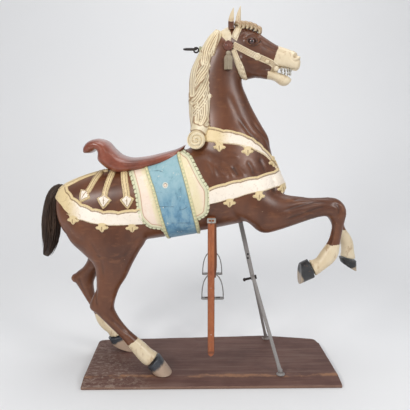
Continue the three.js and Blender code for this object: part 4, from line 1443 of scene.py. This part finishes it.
def plate(outline, holes, thick, bevel, place):
    """A flat plate cut to an outline, with holes, placed by a function of its flat coordinates."""
    curve = bpy.data.curves.new("cutting", "CURVE")
    curve.dimensions = "2D"
    curve.fill_mode = "BOTH"
    curve.extrude = (thick / 2 - bevel) * MM
    curve.bevel_depth = bevel * MM
    curve.bevel_resolution = 1
    for loop in [outline, *holes]:
        spline = curve.splines.new("POLY")
        spline.points.add(len(loop) - 1)
        spline.use_cyclic_u = True
        for point, (u, v) in zip(spline.points, loop):
            point.co = (u * MM, v * MM, 0, 1)
    block = bpy.data.objects.new("cutting", curve)
    bpy.context.scene.collection.objects.link(block)
    made = block.evaluated_get(bpy.context.evaluated_depsgraph_get()).to_mesh()
    points = np.array([v.co[:] for v in made.vertices]) / MM
    faces = [list(p.vertices) for p in made.polygons]
    faces = [f + [f[-1]] * (4 - len(f)) for f in faces if len(f) < 5]
    bpy.data.objects.remove(block)
    return Skin(place(points), faces)


def circle(cx, cz, r, count=14):
    a = np.linspace(0, 2 * math.pi, count, endpoint=False)
    return [(cx + r * math.cos(t), cz + r * math.sin(t)) for t in a]


def strap_run(path, wide=25.0, thick=3.0):
    """A strap with rounded edges along x, y, z points, its width lying along x."""
    centre = line(path, 60)
    ahead = np.gradient(centre, axis=0)
    ahead /= np.linalg.norm(ahead, axis=1, keepdims=True)
    out = np.cross(ahead, (1, 0, 0))
    out /= np.linalg.norm(out, axis=1, keepdims=True)
    angle = np.linspace(0, 2 * math.pi, 28, endpoint=False)
    u = np.sign(np.cos(angle)) * np.abs(np.cos(angle)) ** 0.25 * wide / 2
    w = np.sign(np.sin(angle)) * np.abs(np.sin(angle)) ** 0.6 * thick / 2
    rings = centre[:, None] + out[:, None] * w[None, :, None] + np.array([1.0, 0, 0]) * u[None, :, None]
    return tube(rings)


def punched_leather(side):
    """The looped strap with its punched tail, and each point's distance from the strap's edges."""
    x, top, _ = irons[side]
    hang = hangs[side]
    holes = [circle(hang - 2.5, 630 - k * 31, 2.3) for k in range(16)]
    outline = [(-15, 656), (-15, 122), (-11, 112), (-3, 106), (5, 112), (10, 122), (10, 656)]
    outline = [(hang + u, v) for u, v in outline]

    def on_strap(p):
        out = STRAP_Y + 13 + p[:, 2] * side + 1.5 * np.sin(p[:, 1] / 90)
        return np.stack([p[:, 0], side * out, p[:, 1]], 1)

    flat = plate(outline, holes, 3.0, 0.7, on_strap)
    front = strap_run(beside(side, [
        (hang, 5, 655), (hang + 1, 5, 600), (x - 2, 5, 470), (x, 5, top - 6), (x, 0, top - 13),
        (x, -5, top - 6), (x + 4, -5, 470), (hang + 6, -5, 600), (hang + 6, -9, 655),
    ]))
    root = strap_run(beside(side, [(hang, 13, 650), (hang, 4, 656), (hang, -12, 652), (hang, -30, 645)]))
    leather = joined(flat, front, root)
    in_tail = np.abs(leather.points[:, 1]) > 138
    return leather, 12.5 - np.abs(leather.points[:, 0] - hang + 2.5 * in_tail)


def strap_buckle(side):
    middle = hangs[side] - 2

    def on_buckle(p):
        return np.stack([middle + p[:, 0], side * (STRAP_Y + 17 + p[:, 2] * side), 645 + p[:, 1]], 1)

    cut_corners = [(-0.86, -1), (0.86, -1), (1, -0.8), (1, 0.8), (0.86, 1), (-0.86, 1), (-1, 0.8), (-1, -0.8)]
    outline = [(a * 16, b * 9) for a, b in cut_corners]
    window = [(-11, -4.6), (11, -4.6), (11, 4.6), (-11, 4.6)]
    tongue = bent(beside(side, [(middle, 18, 636), (middle, 19, 645), (middle, 18, 655)]), 1.5, 10, 12)
    return joined(plate(outline, [window], 3.2, 0.9, on_buckle), tongue)


def stirrup_iron(side):
    """The bow over a slotted tread."""
    x, top, wide = irons[side]
    y = side * STRAP_Y
    foot = top - 100
    quarter = [(1.0, 0.02), (1.0, 0.18), (0.97, 0.36), (0.9, 0.55), (0.78, 0.72), (0.6, 0.86), (0.38, 0.95)]
    arch = [(-u, w) for u, w in quarter] + [(0, 1.0)] + quarter[::-1]
    bow = bent([(x + u * wide / 2, y, foot + w * 100) for u, w in arch], 2.1, 14, 90)
    outline = [(-1, -0.55), (-0.9, -1), (0.9, -1), (1, -0.55), (1, 0.55), (0.9, 1), (-0.9, 1), (-1, 0.55)]
    outline = [(a * (wide / 2 + 1.5), b * 11) for a, b in outline]
    slot = [(-8, -5.5), (8, -5.5), (8, 5.5), (-8, 5.5)]
    slots = [[(a + shift, b) for a, b in slot] for shift in (-21, 0, 21)]
    return joined(bow, plate(outline, slots, 5, 1.2, lambda p: p + (x, y, foot + 3)))


# ---------------------------------------------------------------- stand
def square_bar(a, b, wide, thick, rows=30, corner=0.28, flare=()):
    a, b = np.array(a, float), np.array(b, float)
    ahead = (b - a) / np.linalg.norm(b - a)
    across = np.array([0, 1.0, 0]) - ahead * ahead[1]
    across /= np.linalg.norm(across)
    side = np.cross(across, ahead)
    angle = np.linspace(0, 2 * math.pi, 32, endpoint=False)
    u = np.sign(np.cos(angle)) * np.abs(np.cos(angle)) ** corner
    w = np.sign(np.sin(angle)) * np.abs(np.sin(angle)) ** corner
    rings = []
    for t in np.linspace(0, 1, rows):
        size = np.interp(t, *zip(*flare)) if flare else 1.0
        breadth = side * (u * wide / 2 * size)[:, None]
        rings.append(a + (b - a) * t + breadth + across * (w * thick / 2 * size)[:, None])
    return tube(rings)


def stand(finish, iron):
    post_top, fork = (120, 22, 610), (176, 22, 366)
    post = square_bar(post_top, fork, 18, 14, 40, 0.45)
    pegs = [lathe([(4.5, 0), (4.5, 7), (3.4, 8.5), (0.5, 9)], (152, 15 + 7, z), -1, 20) for z in (474, 458)]
    piece("stand_bar", post, finish, "stand_post", "stand_iron")
    piece("stand_pegs", joined(*pegs), iron, "stand_post", "dark_iron")
    for tag, (fx, fy), wide in (("right", (272, -138), 14), ("left", (258, 202), 12)):
        s = 1 if fy > 22 else -1
        leg = square_bar((fork[0] - 2, fork[1] + s * 12, fork[2] + 16), (fx, fy, 34), wide, 10, 50, 0.6,
                         [(0, 0.7), (0.03, 1), (0.12, 1.0), (0.9, 1.0), (1, 1.25)])
        foot = [(16.5, 0), (17, 2), (16, 4.5), (12, 7.5), (8.5, 12), (7.2, 18), (6.8, 22)]
        rings = []
        for r, h in foot:
            a = np.linspace(0, 2 * math.pi, 32, endpoint=False)
            rings.append(np.stack([fx + r * np.cos(a), fy + r * np.sin(a), np.full(32, hoof_level + h)], 1))
        piece(f"stand_leg_{tag}", joined(leg, tube(rings)), finish, f"stand_leg_{tag}", "stand_iron")
    along = np.array([math.cos(0.25), 0, math.sin(0.25)])
    mid = np.array([164, 22, 370.0])
    shank = bent([tuple(mid + along * reach) for reach in (-26, -9, 9, 26)], 5, 18, 20)
    head = blob(mid - along * 25, (6.5, 7.5, 7.5), 12, 20)
    nut = square_bar(tuple(mid + along * 20), tuple(mid + along * 26.5), 17, 17, 6, 0.8)
    piece("stand_bolt", joined(shank, head, nut), iron, "stand_bolt", "dark_iron")


# ---------------------------------------------------------------- board
def base_board(finish):
    half, thick = 500, 26
    rings = []
    far_line = [(-500, 164), (-498, 186), (-490, 198), (-470, 204), (-440, 206.5), (260, 239), (470, 200),
                (486, 192), (490, 180), (492, 158)]
    xs = np.concatenate([[-half, -half, -half + 1, -half + 3], np.linspace(-half + 6, half - 6, 200),
                         [half - 3, half - 1, half, half]])
    round_off = np.concatenate([[30, 3.2, 1.4, 0.5], np.zeros(200), [0.5, 1.4, 3.2, 30]])
    for x, inset in zip(xs, round_off):
        far = np.interp(x, *zip(*far_line))
        near = -200
        inset_z = min(inset, 3.2)
        if inset > 10:
            near, far = near + 8, far - 8
        near_edge = [near + 2.5, near + 0.8, near, near, near + 0.8, near + 2.5]
        far_edge = [far - 3, far - 0.9, far, far, far - 0.9, far - 2.5]
        ys = np.concatenate([near_edge, np.linspace(near + 8, -146, 12), np.linspace(-141, -138, 4),
                             np.linspace(-130, far - 8, 46), far_edge, np.linspace(far - 20, near + 20, 12)])
        top = np.interp(ys, [-200, -142, -137, 300], [11, 25.4, 26, 26])
        count = len(ys)
        # The eased corners of the near edge, then of the far edge, then the underside.
        z = top.copy()
        z[:3] = [0, 0.8, 2.5]
        z[3:5] -= [2.5, 0.8]
        z[-17:-15] -= [0.8, 2.5]
        z[-15:-12] = [2.5, 0.8, 0]
        z[-12:] = 0
        z = inset_z + z * (thick - 2 * inset_z) / thick
        skew = 8 * (ys + 200) / 358 * ease(np.full(count, float(x)), 380, 500)
        rings.append(np.stack([x - np.clip(skew, 0, 9), ys, z], 1))
    skin = tube(rings)
    x, y, z = skin.points.T
    rough = np.sin(x / 31 + y / 17) * 0.3 + np.sin(x / 7.7) * np.sin(y / 9.1 + x / 57) * 0.15
    skin.points[:, 2] += rough * (z > 9)
    edge = np.min([x + half, half - x, y + 200, np.interp(x, *zip(*far_line)) - y], 0)
    left = -(x + 330) - (y + 60) * 0.5
    piece("board", skin, finish, "base_board", "board_wood", bevel=np.abs(y + 139), left=left,
          edge=np.maximum(edge, 0))


# ---------------------------------------------------------------- small pieces of the head
def rosette(side):
    profile = [(18, -8), (18.5, 3), (17, 6), (14, 7.4), (11.5, 5.5), (9, 7), (6, 9), (3, 10), (0.4, 10.2)]
    return lathe(profile, (67, side * 50, 1287), side, 48, 8, 0.06)


def bridle_buckles(side):
    roundel = [(13, -6), (13.5, 2), (12, 5), (9, 6), (7, 4.6), (4, 6.5), (0.4, 7)]
    stud = [(7.5, -6), (7.5, 2), (5.5, 4.5), (0.4, 5.2)]
    bit = [(9.5, -8), (10, 0), (8, 4), (5, 5), (0.4, 5.4)]
    return joined(
        lathe(roundel, (175, side * 46, 1247), side, 36),
        lathe(stud, (212, side * 41, 1229), side, 28),
        lathe(bit, (246, side * 35, 1204), side, 28),
    )


def tassel(side):
    cords = []
    for a in np.linspace(0, 2 * math.pi, 13, endpoint=False):
        u, w = math.cos(a), math.sin(a)
        x, y = 68 + 12 * u, side * 58 + 9 * w
        path = [(68 + 5 * u, side * 57 + 3 * w, 1254), (x, y, 1243), (x * 1.02 - 1.4, y, 1222), (x, y, 1200)]
        cords.append(strand(path, [2.2, 3.4, 3.4, 3.0], 8, 14))
    return joined(*cords, blob((68, side * 57, 1259), (9.5, 9.5, 9), 12, 24))


def eyeball(side):
    """The glass ball of an eye, and each point's distance from the middle of its pupil."""
    profile = [(13 * math.sin(t), 13 * math.cos(t)) for t in np.linspace(math.pi - 0.03, 0.03, 26)]
    ball = lathe(profile, (EYE[0], side * EYE[1], EYE[2]), side, 36)
    x, y, z = ball.points.T
    behind = y * side < EYE[1]
    return ball, np.hypot(x - EYE[0] - 1, z - EYE[2]) + behind * 20


def eyelids(side):
    path = []
    for a in np.linspace(0, 2 * math.pi, 25):
        out = EYE[1] + 5.5 - 3 * abs(math.cos(a))
        path.append((EYE[0] + 17 * math.cos(a) * 1.08, side * out, EYE[2] + 12.5 * math.sin(a)))
    return strand(path, [3.0, 3.4, 3.0], 12, 72)


def teeth():
    """An upper and a lower row, in an arc round the front of the mouth."""
    made = []
    for top, bottom, size in ((1209, 1198, 4.6), (1194, 1186, 4.0)):
        for a in np.linspace(-math.pi / 2, math.pi / 2, 9):
            x, y = 268 + 34 * math.cos(a), 22 * math.sin(a)
            middle = (top + bottom) / 2 - (x - 268) * 0.10
            made.append(blob((x, y, middle), (size * 0.8, size, (top - bottom) / 2 + 1.5), 8, 12))
    return joined(*made)


# ---------------------------------------------------------------- hooves
# Share of the way from the coronet to the sole, and size there.
hoof_profile = [(0, 0.8), (0, 0.93), (0.03, 0.99), (0.08, 1.01), (0.16, 1), (0.35, 1), (0.6, 1), (0.8, 1),
                (0.93, 1), (0.98, 0.985), (1, 0.95), (1, 0.8), (0.97, 0.7)]


def hoof(coronet, sole):
    """A hoof, and how far down it each point lies."""
    a, b = np.array(full(coronet), float), np.array(full(sole), float)
    rows = []
    for t, size in hoof_profile:
        row = a + (b - a) * t
        mx, mz = (row[0] + row[2]) / 2, (row[1] + row[3]) / 2
        rows.append([mx + (row[0] - mx) * size, mz + (row[1] - mz) * size, mx + (row[2] - mx) * size,
                     mz + (row[3] - mz) * size, row[4], row[5] * size, 0])
    skin = sweep(rows, 60, 56, 0.95)
    start = np.array([(a[0] + a[2]) / 2, a[4], (a[1] + a[3]) / 2])
    way = np.array([(b - a)[0] + (b - a)[2], 0, (b - a)[1] + (b - a)[3]]) / 2
    low = ((skin.points - start) @ way) / (way @ way)
    skin.points[:, 2] = np.maximum(skin.points[:, 2], hoof_level)
    return skin, low


# ---------------------------------------------------------------- making everything
stage_and_camera()
coat = brown_coat()
mane_paint = cream_paint("mane_paint", (0.84, 0.74, 0.54), (0.76, 0.64, 0.42), (0.30, 0.17, 0.08),
                         shade_from=0.34)
band_paint = cream_paint("band_paint", (0.93, 0.84, 0.73), (0.90, 0.79, 0.66), (0.30, 0.18, 0.09),
                         gilt=(0.74, 0.58, 0.32))
bridle_finish = bridle_paint()
rosette_paint = plain_paint("rosette_paint", (0.20, 0.06, 0.03), (0.12, 0.035, 0.02), 60, 0.35, coat=0.3)
tassel_paint = cream_paint("tassel_paint", (0.80, 0.76, 0.64), (0.68, 0.62, 0.48), (0.24, 0.18, 0.11))
tooth_paint = plain_paint("tooth_paint", (0.80, 0.78, 0.72), (0.66, 0.62, 0.52), 80, 0.3, coat=0.3)
eye_finish = glass_eye()
wrought = iron_paint("wrought_iron", (0.030, 0.027, 0.026), (0.09, 0.035, 0.018), 0.62, 0.5, 0.4)
plate_paint = iron_paint("plate_paint", (0.40, 0.42, 0.28), (0.22, 0.10, 0.045), 0.52, 0.55)
stand_paint = iron_paint("stand_paint", (0.29, 0.27, 0.26), (0.14, 0.075, 0.04), 0.60, 0.5)
steel = iron_paint("stirrup_steel", (0.30, 0.29, 0.28), (0.11, 0.06, 0.035), 0.58, 0.35, 0.7)
worn_steel = iron_paint("buckle_steel", (0.50, 0.48, 0.44), (0.20, 0.12, 0.07), 0.60, 0.4, 0.6)
leather_finish = strap_leather()
black_hoof = hoof_paint("black_hoof", (0.022, 0.022, 0.024), (0.42, 0.33, 0.24), 0.97)
grey_hoof = hoof_paint("grey_hoof", (0.035, 0.04, 0.05), (0.46, 0.33, 0.24), 0.36)

body = horse_body()
carved("horse_body", body, coat, hollow=body.hollows(3, 1.1), sock=socks(body))
dress_band("breast_band_upper", body, upper_breast, band_paint, 120)
dress_band("breast_band_lower", body, lower_breast, band_paint)
dress_band("rump_band", body, rump_band, band_paint, -440)
cloth(body, cloth_paint())
girth(body, girth_paint())
spears(body, band_paint)
croup_strap(body, band_paint)

head, pale = head_piece()
carved("horse_head", head, coat, hollow=head.hollows(3, 1.6), sock=pale)
plain_head = straight_head(head)
cheek = Strap(lowered([(91, 1308), (137, 1283), (170, 1267), (200, 1255), (233, 1240), (257, 1223)]), 22)
throat = Strap(lowered([(94, 1285), (108, 1250), (125, 1215), (139, 1172), (144, 1150)]), 27)
brow = lowered([(80, 1325), (84, 1345), (97, 1370), (117, 1362), (110, 1340), (98, 1310)])
crown = lowered([(22, 1330), (22, 1356), (66, 1368), (80, 1330), (72, 1302), (58, 1290), (40, 1302)])
studs = [(116 + 4.6 * k, 1224 - 15.5 * k) for k in range(4)]
head_strap("cheek_strap", plain_head, cheek.outline, bridle_finish, 4.0, (4.5, 8.5))
head_strap("throat_strap", plain_head, throat.outline, bridle_finish, 4.5, (3.2,), studs)
head_strap("brow_strap", plain_head, brow, bridle_finish, 4.5, (4.0,))
head_strap("crown_strap", plain_head, crown, bridle_finish, 5.5)
for side in (-1, 1):
    tag = which(side)
    on_head(f"rosette_{tag}", rosette(side), rosette_paint)
    on_head(f"bridle_buckles_{tag}", bridle_buckles(side), bridle_finish)
    on_head(f"tassel_{tag}", tassel(side), tassel_paint)
    lids = eyelids(side)
    on_head(f"eyelids_{tag}", lids, coat, sock=np.full(len(lids.points), -50.0))
    ball, pupil = eyeball(side)
    on_head(f"glass_eye_{tag}", ball, eye_finish, f"eye_{tag}", "eye_glass", pupil=pupil)

# Each ear: its side, base and tip, and the height above which it is cream.
for side, base, tip, cream_from in ((-1, (77, 1348), (85, 1424), 1378), (1, (101, 1352), (109, 1445), 1358)):
    made = ear(side, base, tip)
    on_head(f"ear_{which(side)}", made, coat, sock=made.points[:, 2] - cream_from)
on_head("forelock", curls(), mane_paint)
on_head("teeth", teeth(), tooth_paint)

for name, made, finish, blur, gain in (
    ("mane", mane(), mane_paint, 2, 2.2),
    ("mane_scrolls", scrolls(), mane_paint, 2, 2.2),
    ("saddle", saddle(), saddle_paint(), 4, 1.6),
):
    carved(name, made, finish, hollow=made.hollows(blur, gain))
for name, ends in hooves.items():
    made, low = hoof(*ends)
    carved(name, made, grey_hoof if "hind" in name else black_hoof, low=low)

piece("tail_hair", tail(), horsehair(), "tail", "horsehair")
piece("crest_ring_iron", ring_on_crest(), wrought, "crest_ring", "dark_iron")
piece("eye_bolt", eye_bolt(), wrought, "crest_eye_bolt", "dark_iron")
piece("eye_bolt_plate", bracket(), plate_paint, "crest_eye_bolt", "dark_iron")
for side in (-1, 1):
    tag = which(side)
    made, edge = punched_leather(side)
    piece(f"leather_{tag}", made, leather_finish, f"stirrup_leather_{tag}", "strap_leather", edge=edge)
    piece(f"buckle_{tag}", strap_buckle(side), worn_steel, f"stirrup_buckle_{tag}", "plain_steel")
    piece(f"iron_{tag}", stirrup_iron(side), steel, f"stirrup_iron_{tag}", "plain_steel")
stand(stand_paint, wrought)
base_board(board_wood())
